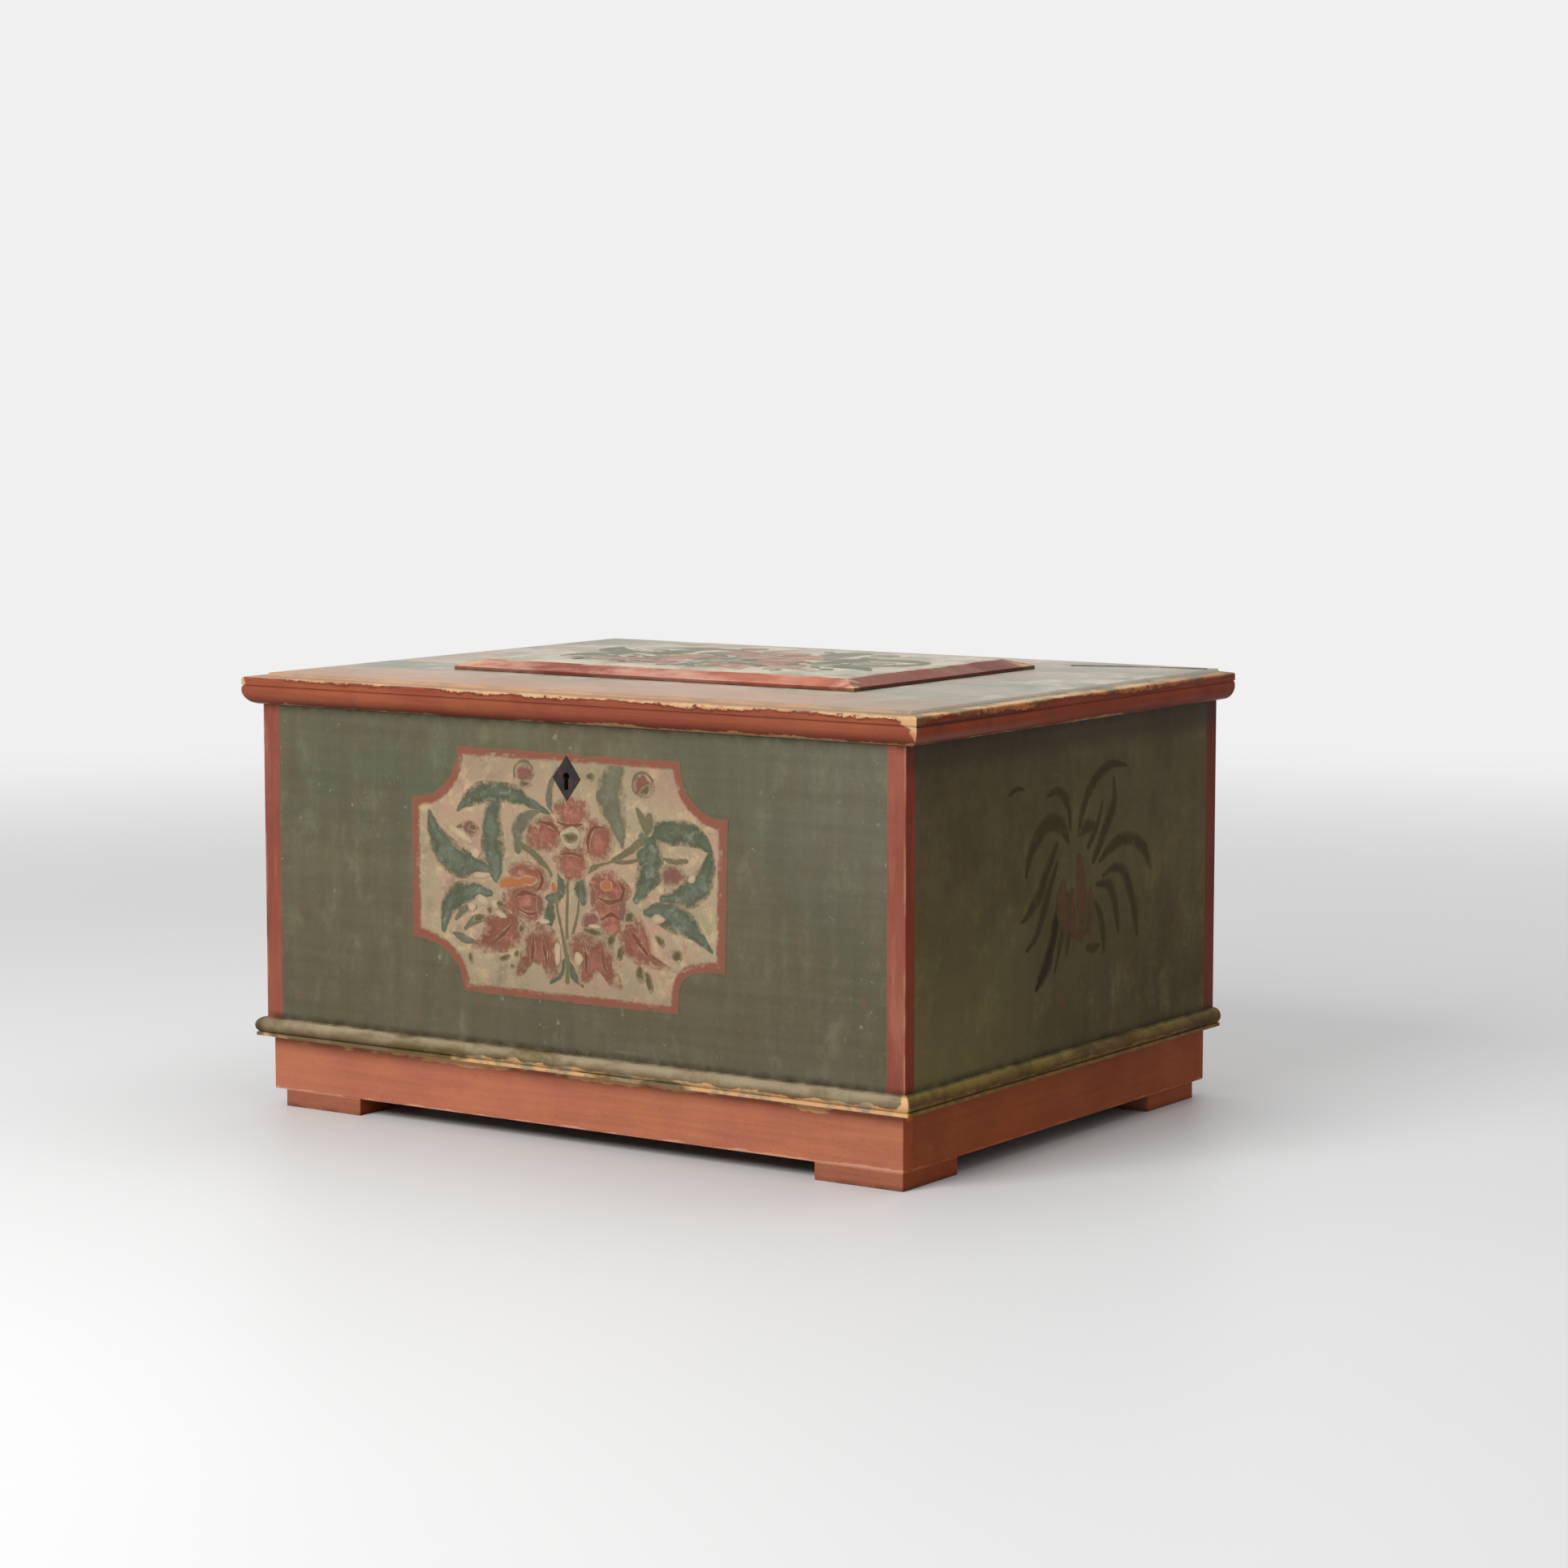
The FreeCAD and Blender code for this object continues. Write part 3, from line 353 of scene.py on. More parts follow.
def marked_green(finish, colour):
    """The walls' stains, blooms, specks, chips and scratches."""
    y, z, to_end = finish.y, finish.z, finish.to_end
    stains = finish.spots(0.42, 0.60, 7, 6, (1, 1, 0.8), 19, 0.72)
    bloom = finish.spots(0.50, 0.68, 15, 6, (1, 1, 0.8), 20, 0.75) * z.rise(460, 140)
    specks = finish.spots(0.66, 0.74, 110, offset=21) * finish.spots(0.42, 0.60, 7, offset=24)
    bruised = z.rise(320, 130) | finish.spots(0.55, 0.70, 4, 2, offset=30)
    chips = finish.spots(0.62, 0.70, 48, 5, offset=27, rough=0.65) * bruised
    scratches = finish.spots(0.66, 0.76, 8, 4, (1.2, 1.2, 30), 33) * finish.spots(0.50, 0.65, 9, 2, offset=36)
    return colour.coats(
        (END_SHADE, to_end * stains, 0.55),
        (GREEN_SPECK, to_end * bloom, 0.4),
        (GREEN_SPECK, to_end * z.rise(340, 100) * y.rise(100, -280), 0.45),
        (GREEN_SPECK, specks, to_end.span(0.55, 0.2)),
        (RED_MAUVE, chips, 0.35),
        (GREEN_SPECK, scratches, 0.25))


def cream_ground(finish):
    """The cream paint inside the cartouche."""
    broad = finish.noise(9, 5, offset=41, warp=0.5)
    patches = finish.spots(0.44, 0.64, 24, 6, offset=42, rough=0.7)
    colour = finish.blend(broad.rise(0.38, 0.62), *GROUNDS).coats(
        (GROUND_GREEN, patches, 0.8),
        (CREAM_PALE, finish.spots(0.50, 0.66, 50, 6, offset=44, rough=0.72), 0.45),
        (GREEN_BROWN, finish.spots(0.52, 0.68, 38, 6, offset=47, rough=0.78), 0.42),
        (GREEN_BROWN, finish.z.rise(355, 385) | finish.z.rise(200, 160), 0.18))
    colour, grit = gritty(finish, colour, 49)
    return colour, patches + grit.span(0, 0.5)


def lid_ground(finish):
    """The paler grey-green of the lid, rubbed by use; its paleness beside the walls' green is partly a
    painted sheen.
    """
    x, y = finish.x, finish.y
    colour, height = brushed(finish, X, LID_GREENS_AND_SHEEN, 51)
    patches = finish.noise(6, 5, (1, 1.6, 1), 53, rough=0.62)
    near_corner = x.rise(220, 360) * y.rise(-100, -240)
    shade_behind_panel = x.band(220, 270, 300, 360) * y.rise(150, 190)
    return colour.coats(
        (LID_PINK, patches.rise(0.48, 0.60), x.rise(120, 340).span(0.65, 0.25)),
        (LID_GREEN_DEEP, patches.rise(0.44, 0.34), 0.7),
        (LID_PALE, finish.spots(0.48, 0.66, 13, 6, offset=54, rough=0.7), 0.65),
        (LID_TAN, y.rise(-140, -270), 0.78),
        # Darker near the front corner, and painted shade on the lid behind the panel
        (LID_GREEN_DEEP, near_corner | shade_behind_panel, 0.4),
        (GREEN_BROWN, finish.spots(0.56, 0.72, 5, 5, (1, 26, 26), 57), 0.35)), height


# Walls

SKIN = 0.4
STRIPE_BLUR = 0.8
FRONT_STRIPE, NEAR_STRIPE, FAR_STRIPE = 21.0, 16.4, 21.2


def stripe_red(finish):
    """The worn red of the corner stripes."""
    red, _ = brushed(finish, Z, STRIPE_REDS, 64)
    red = red.coats(
        (STRIPE_WORN_AND_HIGHLIGHT, finish.spots(0.56, 0.72, 9, 5, (8, 8, 1), 67), 0.25),
        (RED_DEEP, finish.to_end * finish.y.rise(260, 290), 0.6))
    return paint_end_shade(finish, red, RED_END_SHADE_TINT)


def corner_stripes(finish, front_face, end_face):
    """Where the stripes lie, their edges a little unsteady."""
    jitter = finish.noise(38, 4, offset=61).swing(2.2)
    outer = (finish.inside - jitter).rise(FRONT_STRIPE + STRIPE_BLUR, FRONT_STRIPE)
    near = (finish.behind + jitter).rise(NEAR_STRIPE + STRIPE_BLUR, NEAR_STRIPE)
    far = (BACK - finish.y - jitter).rise(FAR_STRIPE + STRIPE_BLUR, FAR_STRIPE)
    return front_face * outer | end_face * (near | far)


def wall_finish(name, axis):
    """Green outside with red stripes up the corners, bare pine inside and on the rim."""
    finish = Finish(name)
    front_face = finish.behind.rise(2 * SKIN, SKIN)
    end_face = finish.inside.rise(2 * SKIN, SKIN)
    painted = front_face | end_face
    arris = front_face * finish.inside.rise(3.2, 0.6) | end_face * finish.behind.rise(2.2, 0.4)
    below_lid = MOULDING_FOOT - finish.z
    green, height = green_ground(finish)
    colour = green.coats(
        (stripe_red(finish), corner_stripes(finish, front_face, end_face), 1),
        # The paler line along the corner arrises is rubbed paint and a painted highlight
        (STRIPE_WORN_AND_HIGHLIGHT, arris * finish.spots(0.40, 0.62, 70, 5, (1, 1, 0.35), 70), 0.65),
        # Painted shade along the boards' foot and under the lid's moulding, and a painted shadow on the ends
        # under it
        dirt_and_shade_line(finish, (finish.z - WALL_FOOT).rise(9, 3), 0.65),
        dirt_and_shade_line(finish, below_lid.rise(12, 0), 0.55),
        (SHADOW, below_lid.rise(38, 16) * finish.to_end, 0.5))
    bare, grain = pine(finish, axis)
    to_keyhole = abs(finish.z - KEYHOLE_LEVEL)
    keyhole = finish.across.rise(10, 8) * to_keyhole.rise(18, 16) * finish.y.rise(0, FRONT / 2)
    colour = finish.blend(painted, bare.coat(SHADOW, keyhole, 0.9), colour)
    roughness = finish.noise(20, offset=73).span(0.42, 0.62)
    return finish.close(colour, roughness, finish.mix(painted, grain, height), 0.35)


def bare_finish(name, axis, offset):
    """Unpainted boards: the bottom, the battens and the till."""
    finish = Finish(name)
    colour, height = pine(finish, axis, offset)
    return finish.close(colour, height.span(0.55, 0.67), height, 0.4)


# Red and olive trim

COVE_FOOT, COVE_TOP = 3, 13
FURROW = (17, 19, 21, 23)
FILLET = (2.4, 3.4, 4.4, 5.4)
LEAN = -0.006
BREAKS_LEAN = 0.25 * MM


def priming(finish, axis):
    """The cream that shows where the lid's moulding is rubbed."""
    cream = finish.blend(finish.noise(60, offset=90), CREAM, CREAM_PALE).coats(
        (SALMON, finish.spots(0.50, 0.62, 95, 4, offset=91), 0.6),
        (RUBBED_BROWN, finish.y.rise(100, 260), 0.85))
    if axis == Y:
        cream = cream.coat(OLIVE_BROWN, finish.spots(0.47, 0.58, 22, 5, offset=93, rough=0.65), 0.85)
    return cream


def rubbed_edges(finish, axis, colour):
    """The moulding's red with the lid's paint on its top, and cream at its edges and mitres."""
    x, y, z, across = finish.x, finish.y, finish.z, finish.across
    up, down = z - MOULDING_FOOT, MOULDING_TOP - z
    chips = finish.along(axis, 30, 2.2, 6, 84)
    fine = finish.noise(190, 4, offset=87)
    slow = finish.along(axis, 7, 3, 3, 99)
    on_top = down.rise(1.3, 0.8)
    fall = down + chips.swing(10) + fine.swing(6) + slow.swing(16) + x * LEAN
    inward = finish.calc("MINIMUM", LID_END - across, y - LID_FRONT)
    reach = inward + chips.swing(20) + fine.swing(10)
    rubbed_in = 15 if axis == Y else 5
    worn = on_top * reach.rise(rubbed_in, rubbed_in - 3) | (1 - on_top) * fall.rise(2.6, 1.0)
    lift = up + chips.swing(12) + fine.swing(5) + slow.swing(-14)
    left = x.rise(100, -100).span(0, 10)
    corner = LID_END - LID_FRONT - across + y + chips.swing(14) + fine.swing(8) + left
    cream = priming(finish, axis)
    return colour.coats(
        (RED_DEEP, fall.rise(5.2, 3.0), 0.7),
        (lid_ground(finish)[0], on_top, 1),
        (cream, worn * finish.noise(120, 4, offset=92).rise(0.66, 0.56), 0.88),
        (cream, lift.rise(2.0, 0.4), 0.7),
        (cream, (corner - up.rise(17, 22).span(6, 17)).rise(1, -2), 0.92))


def lid_moulding_finish(name, axis, tones):
    """Red moulding under a lid-coloured top, its edges rubbed down to cream priming."""
    finish = Finish(name)
    up = finish.z - MOULDING_FOOT
    colour, height = brushed(finish, axis, tones, 81)
    colour = colour.coats(
        (RED_ORANGE, finish.along(axis, 5, 30, 5, 82).rise(0.48, 0.66), 0.4),
        # Painted shade: darker towards the moulding's lower, downward-turned part
        (RED_DEEP, up.rise(11, 2), 0.5))
    colour = paint_end_shade(finish, rubbed_edges(finish, axis, colour), RED_END_SHADE_TINT)
    at_end = finish.to_end * finish.y.rise(50, -280)
    colour = colour.coats(
        # Painted highlight: a mauve-pink band low on the end mouldings' cove
        (COVE_HIGHLIGHT, at_end * up.rise(COVE_TOP, COVE_FOOT), 0.7),
        (SHADOW, at_end * up.band(*FURROW), 0.55))
    return finish.close(colour, finish.noise(30, offset=96).span(0.38, 0.58), height, 0.3)


def chipped_cream(finish, axis, up, cream_share):
    """Coats of cream along the base moulding's lower edge and at its mitres."""
    chips = finish.along(axis, 36, 2.0, 6, 107)
    lower = (up + chips.swing(18)).rise(8.4, 7.0)
    broken = (finish.along(axis, 9, 3, 4, 108) + finish.x * BREAKS_LEAN).rise(0.42, 0.50)
    cream = finish.blend(finish.spots(0.42, 0.60, 60, 4, offset=110), PLINTH_CREAM, OLIVE_PALE)
    mitre_gap = END + FRONT - (finish.x + finish.y)
    climb = (mitre_gap | mitre_gap * -5) + chips.swing(14) + up * 0.6
    return (cream, lower * broken, cream_share), (PLINTH_CREAM, climb.rise(19, 16), 0.9)


def base_moulding_finish(name, axis, tones, crown_wear_and_highlight, cream_share):
    """Olive moulding, rubbed pale on its crown with a painted highlight there, and with painted shade below.
    """
    finish = Finish(name)
    up = finish.z - PLINTH_TOP
    colour, height = brushed(finish, axis, tones, 101)
    colour = colour.coats(
        # The crown pale with rubbed paint and a painted highlight; the roll's lower half darker with painted
        # shade
        (crown_wear_and_highlight, up.rise(9, 17) * finish.along(axis, 14, 4, 5, 104).rise(0.38, 0.56), 0.65),
        (OLIVE_SHADE, up.rise(12, 7), 0.5))
    if axis == Y:
        colour = colour.coats(
            (OLIVE_DARK, finish.spots(0.46, 0.62, 24, 5, offset=115, rough=0.65), 0.5),
            (OLIVE_DARK, finish.y.rise(140, 300), 0.45))
    # Painted shade at the far left corner, in the fillet's groove and where the moulding meets the wall
    far_corner_shade = (finish.x + END).rise(8, -6) * finish.behind.rise(20, 4)
    colour = colour.coats(
        dirt_and_shade_line(finish, up.band(*FILLET), 0.15),
        *chipped_cream(finish, axis, up, cream_share),
        (OLIVE_DARK, far_corner_shade, 0.7),
        dirt_and_shade_line(finish, up.rise(18.4, 19.6), 0.7))
    roughness = finish.noise(30, offset=113).span(0.42, 0.62)
    return finish.close(paint_end_shade(finish, colour), roughness, height, 0.3)


def plinth_finish(name, axis, tones, offset):
    """Red plinth and foot blocks, scuffed along their lower edges."""
    finish = Finish(name)
    colour, height = brushed(finish, axis, tones, offset)
    up = finish.z - PLINTH_FOOT
    wavy = finish.z + finish.along(axis, 30, 2.2, 5, offset + 6).swing(14)
    scuffed = (wavy - PLINTH_FOOT).rise(2.2, 0.8) * up.rise(-1, 0)
    bitten = finish.along(axis, 11, 3, 4, offset + 11).rise(0.47, 0.54)
    upper = (PLINTH_TOP - wavy).rise(8.0, 6.4) * finish.behind.rise(30, 10)
    colour = colour.coats(
        (SALMON, finish.spots(0.46, 0.66, 7, 5, offset=offset + 3), 0.3),
        (SCUFFED_ROSE, scuffed, 0.6),
        (PLINTH_CREAM, upper * bitten, 0.85),
        dirt_and_shade_line(finish, finish.z.rise(7, 0), 0.6))
    roughness = finish.noise(24, offset=offset + 9).span(0.45, 0.65)
    return finish.close(paint_end_shade(finish, colour, RED_END_SHADE_TINT), roughness, height, 0.35)


# Lid

PANEL_FADE = 0.25


def lid_board_finish(name):
    """Grey-green above, bare pine below, rubbed cream along the outer arris."""
    finish = Finish(name)
    colour, height = lid_ground(finish)
    chips = finish.noise(26, 5, offset=131).swing(16)
    front_edge = (finish.y - LID_FRONT + chips).rise(23, 20)
    end_edge = (LID_END - finish.across - chips).rise(23, 20)
    # Painted light: the boards' end faces, which lie in shade, are coated near-white
    colour = colour.coats((CREAM, front_edge | end_edge, 0.3), (PAINTED_LIGHT_PALE, finish.to_end, 0.9))
    bare, grain = pine(finish, X, 0.1)
    painted = (finish.z - RIM).rise(1, 3)
    height = finish.mix(painted, grain, height)
    roughness = finish.noise(14, 4, offset=134).span(0.30, 0.55)
    return finish.close(finish.blend(painted, bare, colour), roughness, height, 0.3, specular=0.5)


def past_edge(value, axis):
    """How far a place lies past the panel's edge along x or y; inside, it is less than nothing."""
    half = (high("raised_panel", axis) - low("raised_panel", axis)) / 2
    return abs(value - middle_of("raised_panel", axis)) - half


def panel_finish(name):
    """Salmon-red bevels round a grey-green field, rubbed where the bevel meets the field."""
    finish = Finish(name)
    red, _ = brushed(finish, X, (SALMON, RED, RED_MAUVE), 144)
    past_x, past_y = past_edge(finish.x, X), past_edge(finish.y, Y)
    corner = past_x.rise(-34, -18) * past_y.rise(-34, -18) * finish.spots(0.40, 0.56, 40, 5, offset=149)
    red = red.coats(
        (LID_ROSE, finish.spots(0.44, 0.64, 22, 6, (0.4, 1, 1), 147, 0.7), 0.65),
        # Painted shade on the bevels at the ends
        (RED_DEEP, (past_x - past_y).rise(-0.5, 0.5), 0.75),
        (CREAM_PALE, corner, 0.6))
    down = PANEL_TOP - finish.z - finish.noise(24, 5, offset=141).swing(2.4)
    up = finish.z - LID_TOP
    colour, height = lid_ground(finish)
    colour = colour.coats(
        (LID_PALE, finish.spots(0.40, 0.62, 18, 6, offset=140, rough=0.7), 0.9),
        (LID_PALE, PANEL_FADE, 1),
        (red, down.rise(0.6, 1.1), 1),
        # Painted shade on the panel's upright foot and where it meets the lid
        (RED_DEEP, up.rise(4.2, 3.4), 0.7),
        dirt_and_shade_line(finish, up.rise(2.5, 0), 0.9))
    return finish.close(colour, finish.noise(14, 4, offset=150).span(0.34, 0.59), height, 0.3)


# Iron

def iron_finish(name, tones, smoothest, rust_amount):
    """Hammered iron, darkened and rusted in patches."""
    finish = Finish(name)
    rust = finish.spots(0.50, 0.68, 55, 6, offset=167, rough=0.7) * rust_amount
    colour = finish.blend(finish.spots(0.35, 0.70, 40, 5, offset=164), *tones).coat(RUST, rust)
    roughness = finish.noise(120, offset=170).span(smoothest, smoothest + 0.3)
    hammered = finish.noise(90, offset=161)
    return finish.close(colour, roughness, hammered, 0.5, metallic=rust.span(0.85, 0.25), depth=0.6)


# What every node is finished with

def give(material, *names):
    for name in names:
        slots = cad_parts[name].data.materials
        slots.clear()
        slots.append(material)


BOARD_PLACES = ("front", "middle", "rear")


def both(*stems):
    """The names of left and right nodes."""
    return [f"{stem}_{side}" for stem in stems for side in ("left", "right")]


def dress_walls():
    give(wall_finish("wall_paint_long", X), "front_board", "back_board")
    give(wall_finish("wall_paint_end", Y), "left_end_board", "right_end_board")
    give(bare_finish("bottom_pine", X, 0.35), *(f"bottom_board_{place}" for place in BOARD_PLACES))
    give(bare_finish("cross_pine", Y, 0.5), *both("lid_batten"), "till_side", "till_floor")


def dress_trim():
    give(lid_moulding_finish("lid_trim_front", X, (RED, RED_ORANGE, RED_MAUVE)), "lid_moulding_front")
    end_reds = (152, 78, 52), (160, 88, 56), (130, 64, 46)
    give(lid_moulding_finish("lid_trim_end", Y, end_reds), *both("lid_moulding"))
    front_olives = (OLIVE, OLIVE_BROWN, OLIVE_PALE)
    give(base_moulding_finish("base_trim_front", X, front_olives, OLIVE_PALE, 0.85), "base_moulding_front")
    end_olives = (124, 106, 66), (112, 92, 50), (96, 76, 48)
    give(base_moulding_finish("base_trim_end", Y, end_olives, (150, 136, 76), 0.3), *both("base_moulding"))
    plinth_reds = (180, 112, 84), (174, 104, 82), (184, 114, 80)
    give(plinth_finish("plinth_front_paint", X, plinth_reds, 121), "plinth_front")
    foot_reds = (158, 97, 74), (152, 90, 70), (162, 100, 71)
    give(plinth_finish("foot_front_paint", X, foot_reds, 221), *both("foot_front"))
    side_reds = (170, 113, 90), (160, 104, 84), (178, 122, 96)
    give(plinth_finish("plinth_end_paint", Y, side_reds, 241), *both("plinth", "foot_rear"))
    give(plinth_finish("plinth_back_paint", X, side_reds, 261), "plinth_back")


def dress_lid_and_iron():
    give(lid_board_finish("lid_paint"), *(f"lid_board_{place}" for place in BOARD_PLACES))
    give(panel_finish("panel_paint"), "raised_panel")
    forged = iron_finish("forged_iron", (IRON, IRON_LIGHT), 0.42, 0.8)
    give(forged, *both("hinge_lid_strap", "hinge_back_strap", "hinge_pin"))
    give(forged, "hinge_nails_lid", "hinge_nails_case", "lock_nails", "staple_nails", "lid_staple")
    plate = iron_finish("plate_iron", (IRON, IRON_WARM), 0.36, 0.45)
    give(plate, "lock_case", "lock_cover", "lock_guide", "escutcheon")
    give(iron_finish("rubbed_iron", (IRON_LIGHT, STEEL), 0.28, 0.25), "lock_bolt", "lock_spring")


def soften(width, *names):
    """Round the edges of a board a little, as years of use do."""
    for name in names:
        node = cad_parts[name]
        node.modifiers.new("join", "WELD").merge_threshold = 0.01 * MM
        bevel = node.modifiers.new("soften", "BEVEL")
        bevel.width = width * MM
        bevel.segments = 2
        bevel.limit_method = "ANGLE"
        bevel.angle_limit = math.radians(40)


dress_walls()
dress_trim()
dress_lid_and_iron()
soften(0.8, "plinth_front", "plinth_back", *both("plinth", "foot_front", "foot_rear", "lid_batten"))


# Painted ornament: each stroke is a thin closed film of paint lying on its board

SUNK = 0.05
CROWN = 0.04
OVERLAP = 0.004
PAINT_LAYER = 0.06
CURVE_STEPS = 5
CAP_ANGLES = (90, 60, 30)
NARROWEST = 0.08
SHARPEST_TURN = 0.6
BLOB_CORNERS = 9
MIDDLE_RING = 0.6
SPREAD = 1.36
END_SPREAD = 1.28
END_RED_SPREAD = 1.5
CRACK_RISE = 11
DESIGN_MIDDLE = 283
PANEL_STRETCH = (1.16, 1.12)
PANEL_SHIFT = (-12, 20)
CASE_PAINT = ("case", "green_paint")
LID_PAINT = ("lid", "lid_paint")


def on_front(u, v, height):
    return u, FRONT - height, v


def on_right_end(u, v, height):
    return END + height, u, v


def on_left_end(u, v, height):
    return -END - height, u, v


def on_panel(u, v, height):
    """The front's design again on the lid, wider and turned to lie flat."""
    x = u * PANEL_STRETCH[X] + PANEL_SHIFT[X]
    y = (v - DESIGN_MIDDLE) * PANEL_STRETCH[Y] + PANEL_SHIFT[Y]
    return x, y, PANEL_TOP + height


def on_lid(u, v, height):
    """The crack on the lid's rear board; the grain has lifted along it."""
    return u, v, LID_TOP + height * CRACK_RISE


def between(before, start, end, after, share):
    """A point on the smooth curve (Catmull-Rom) from start to end."""
    numbers = []
    for a, b, c, d in zip(before, start, end, after):
        bend = 2 * b + (c - a) * share + (2 * a - 5 * b + 4 * c - d) * share ** 2
        numbers.append((bend + (3 * b - a - 3 * c + d) * share ** 3) / 2)
    return tuple(numbers)


def curved(points, closed=False):
    """A smooth line through points of two or more numbers each."""
    ring = [points[-1], *points, *points[:2]] if closed else [points[0], *points, points[-1]]
    line = []
    for index in range(len(ring) - 3):
        for step in range(CURVE_STEPS):
            line.append(between(*ring[index:index + 4], step / CURVE_STEPS))
    return line if closed else line + [points[-1]]


def cap(tip, neighbour):
    """A stroke's round end from the tip inwards; the fourth number says how near a point is to the tip."""
    u, v, half = tip
    gap = math.dist(tip[:2], neighbour[:2])
    rows = []
    for angle in CAP_ANGLES:
        reach = half * math.sin(math.radians(angle)) / gap
        width = max(half * math.cos(math.radians(angle)), NARROWEST)
        rows.append((u + (u - neighbour[0]) * reach, v + (v - neighbour[1]) * reach, width, angle / 90))
    return rows


def stroke_patch(points, closed=False):
    """A brush stroke through (u, v, half-width) points: flat points, side (left 1, right -1), and faces."""
    line = points if closed else curved(points)
    rows = [(*point, 0) for point in line]
    if closed:
        ring = [rows[-1], *rows, rows[0]]
    else:
        rows = cap(line[0], line[1]) + rows + cap(line[-1], line[-2])[::-1]
        ring = [rows[0], *rows, rows[-1]]
    flat, sides, faces = [], [], []
    for before, (u, v, half, end), after in zip(ring, rows, ring[2:]):
        first = Vector((u - before[0], v - before[1])).normalized()
        second = Vector((after[0] - u, after[1] - v)).normalized()
        along = (first + second).normalized()
        turn = max(along.dot(first), along.dot(second), SHARPEST_TURN)
        across = Vector((-along.y, along.x)) * half / turn
        flat += [(u + across.x, v + across.y), (u, v), (u - across.x, v - across.y)]
        sides += [1, end, -1]
    for row in range(len(rows) if closed else len(rows) - 1):
        for near in (3 * row, 3 * row + 1):
            far = (near + 3) % len(flat)
            faces.append((near, near + 1, far + 1, far))
    return flat, sides, faces


def spread_out(points, share):
    """The middle of some points, and the points moved from it or towards it."""
    middle = tuple(sum(places) / len(points) for places in zip(*points))
    return middle, [tuple(m + (p - m) * share for m, p in zip(middle, point)) for point in points]


def outline_patch(outline):
    """A patch of paint inside a smooth closed outline."""
    rim = curved(outline, closed=True)
    middle, inner = spread_out(rim, MIDDLE_RING)
    count = len(rim)
    faces = []
    for index in range(1, count + 1):
        following = index % count + 1
        faces += [(0, index, following), (index, count + index, count + following, following)]
    return [middle, *inner, *rim], [0] + [MIDDLE_RING] * count + [1] * count, faces


def blob_patch(u, v, wide, tall, turn=0):
    """A roundish dab, a little uneven as a brush leaves it."""
    cosine, sine = math.cos(math.radians(turn)), math.sin(math.radians(turn))
    outline = []
    for index in range(BLOB_CORNERS):
        angle = index * math.tau / BLOB_CORNERS
        uneven = 1 + 0.07 * math.sin(3 * angle + u) + 0.05 * math.sin(5 * angle + v)
        a, b = wide * uneven * math.cos(angle), tall * uneven * math.sin(angle)
        outline.append((u + a * cosine - b * sine, v + a * sine + b * cosine))
    return outline_patch(outline)


def new_object(name, data):
    thing = bpy.data.objects.new(name, data)
    bpy.context.scene.collection.objects.link(thing)
    return thing


class Film:
    """One piece of painting: patches of paint, each lying a hair above the one before it."""

    def __init__(self, place, layer):
        self.place = place
        self.height = layer * PAINT_LAYER
        self.points, self.sides, self.faces = [], [], []

    def lay(self, flat, sides, faces):
        self.height += OVERLAP
        start, count = len(self.points), len(flat)
        for (u, v), side in zip(flat, sides):
            self.points.append(self.place(u, v, self.height + CROWN * (1 - abs(side))))
        self.points += [self.place(u, v, -SUNK) for u, v in flat]
        self.sides += sides + sides
        rim = {}
        for face in faces:
            self.faces.append([start + corner for corner in face])
            self.faces.append([start + count + corner for corner in reversed(face)])
            for one, other in zip(face, (*face[1:], face[0])):
                key = frozenset((one, other))
                rim[key] = None if key in rim else (start + one, start + other)
        for one, other in filter(None, rim.values()):
            self.faces.append([other, one, one + count, other + count])
        return self

    def strokes(self, lines, spread=SPREAD):
        for line in lines:
            self.lay(*stroke_patch([(u, v, half * spread) for u, v, half in line]))
        return self

    def blobs(self, dabs):
        for u, v, wide, tall, *turn in dabs:
            self.lay(*blob_patch(u, v, wide * SPREAD, tall * SPREAD, *turn))
        return self

    def outlines(self, shapes):
        for shape in shapes:
            self.lay(*outline_patch(spread_out(shape, SPREAD)[1]))
        return self

    def make(self, name, material, body, slot):
        mesh = bpy.data.meshes.new(name)
        mesh.from_pydata([[part * MM for part in point] for point in self.points], [], self.faces)
        mesh.attributes.new("side", "FLOAT", "POINT").data.foreach_set("value", self.sides)
        shell = bmesh.new()
        shell.from_mesh(mesh)
        bmesh.ops.recalc_face_normals(shell, faces=shell.faces)
        shell.to_mesh(mesh)
        shell.free()
        mesh.materials.append(material)
        piece = new_object(name, mesh)
        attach(piece, body)


def side_mark(finish):
    """How far a place lies from a stroke's middle: 1 at its left side, -1 at its right."""
    return finish.value("ShaderNodeAttribute", output="Fac", attribute_name="side")


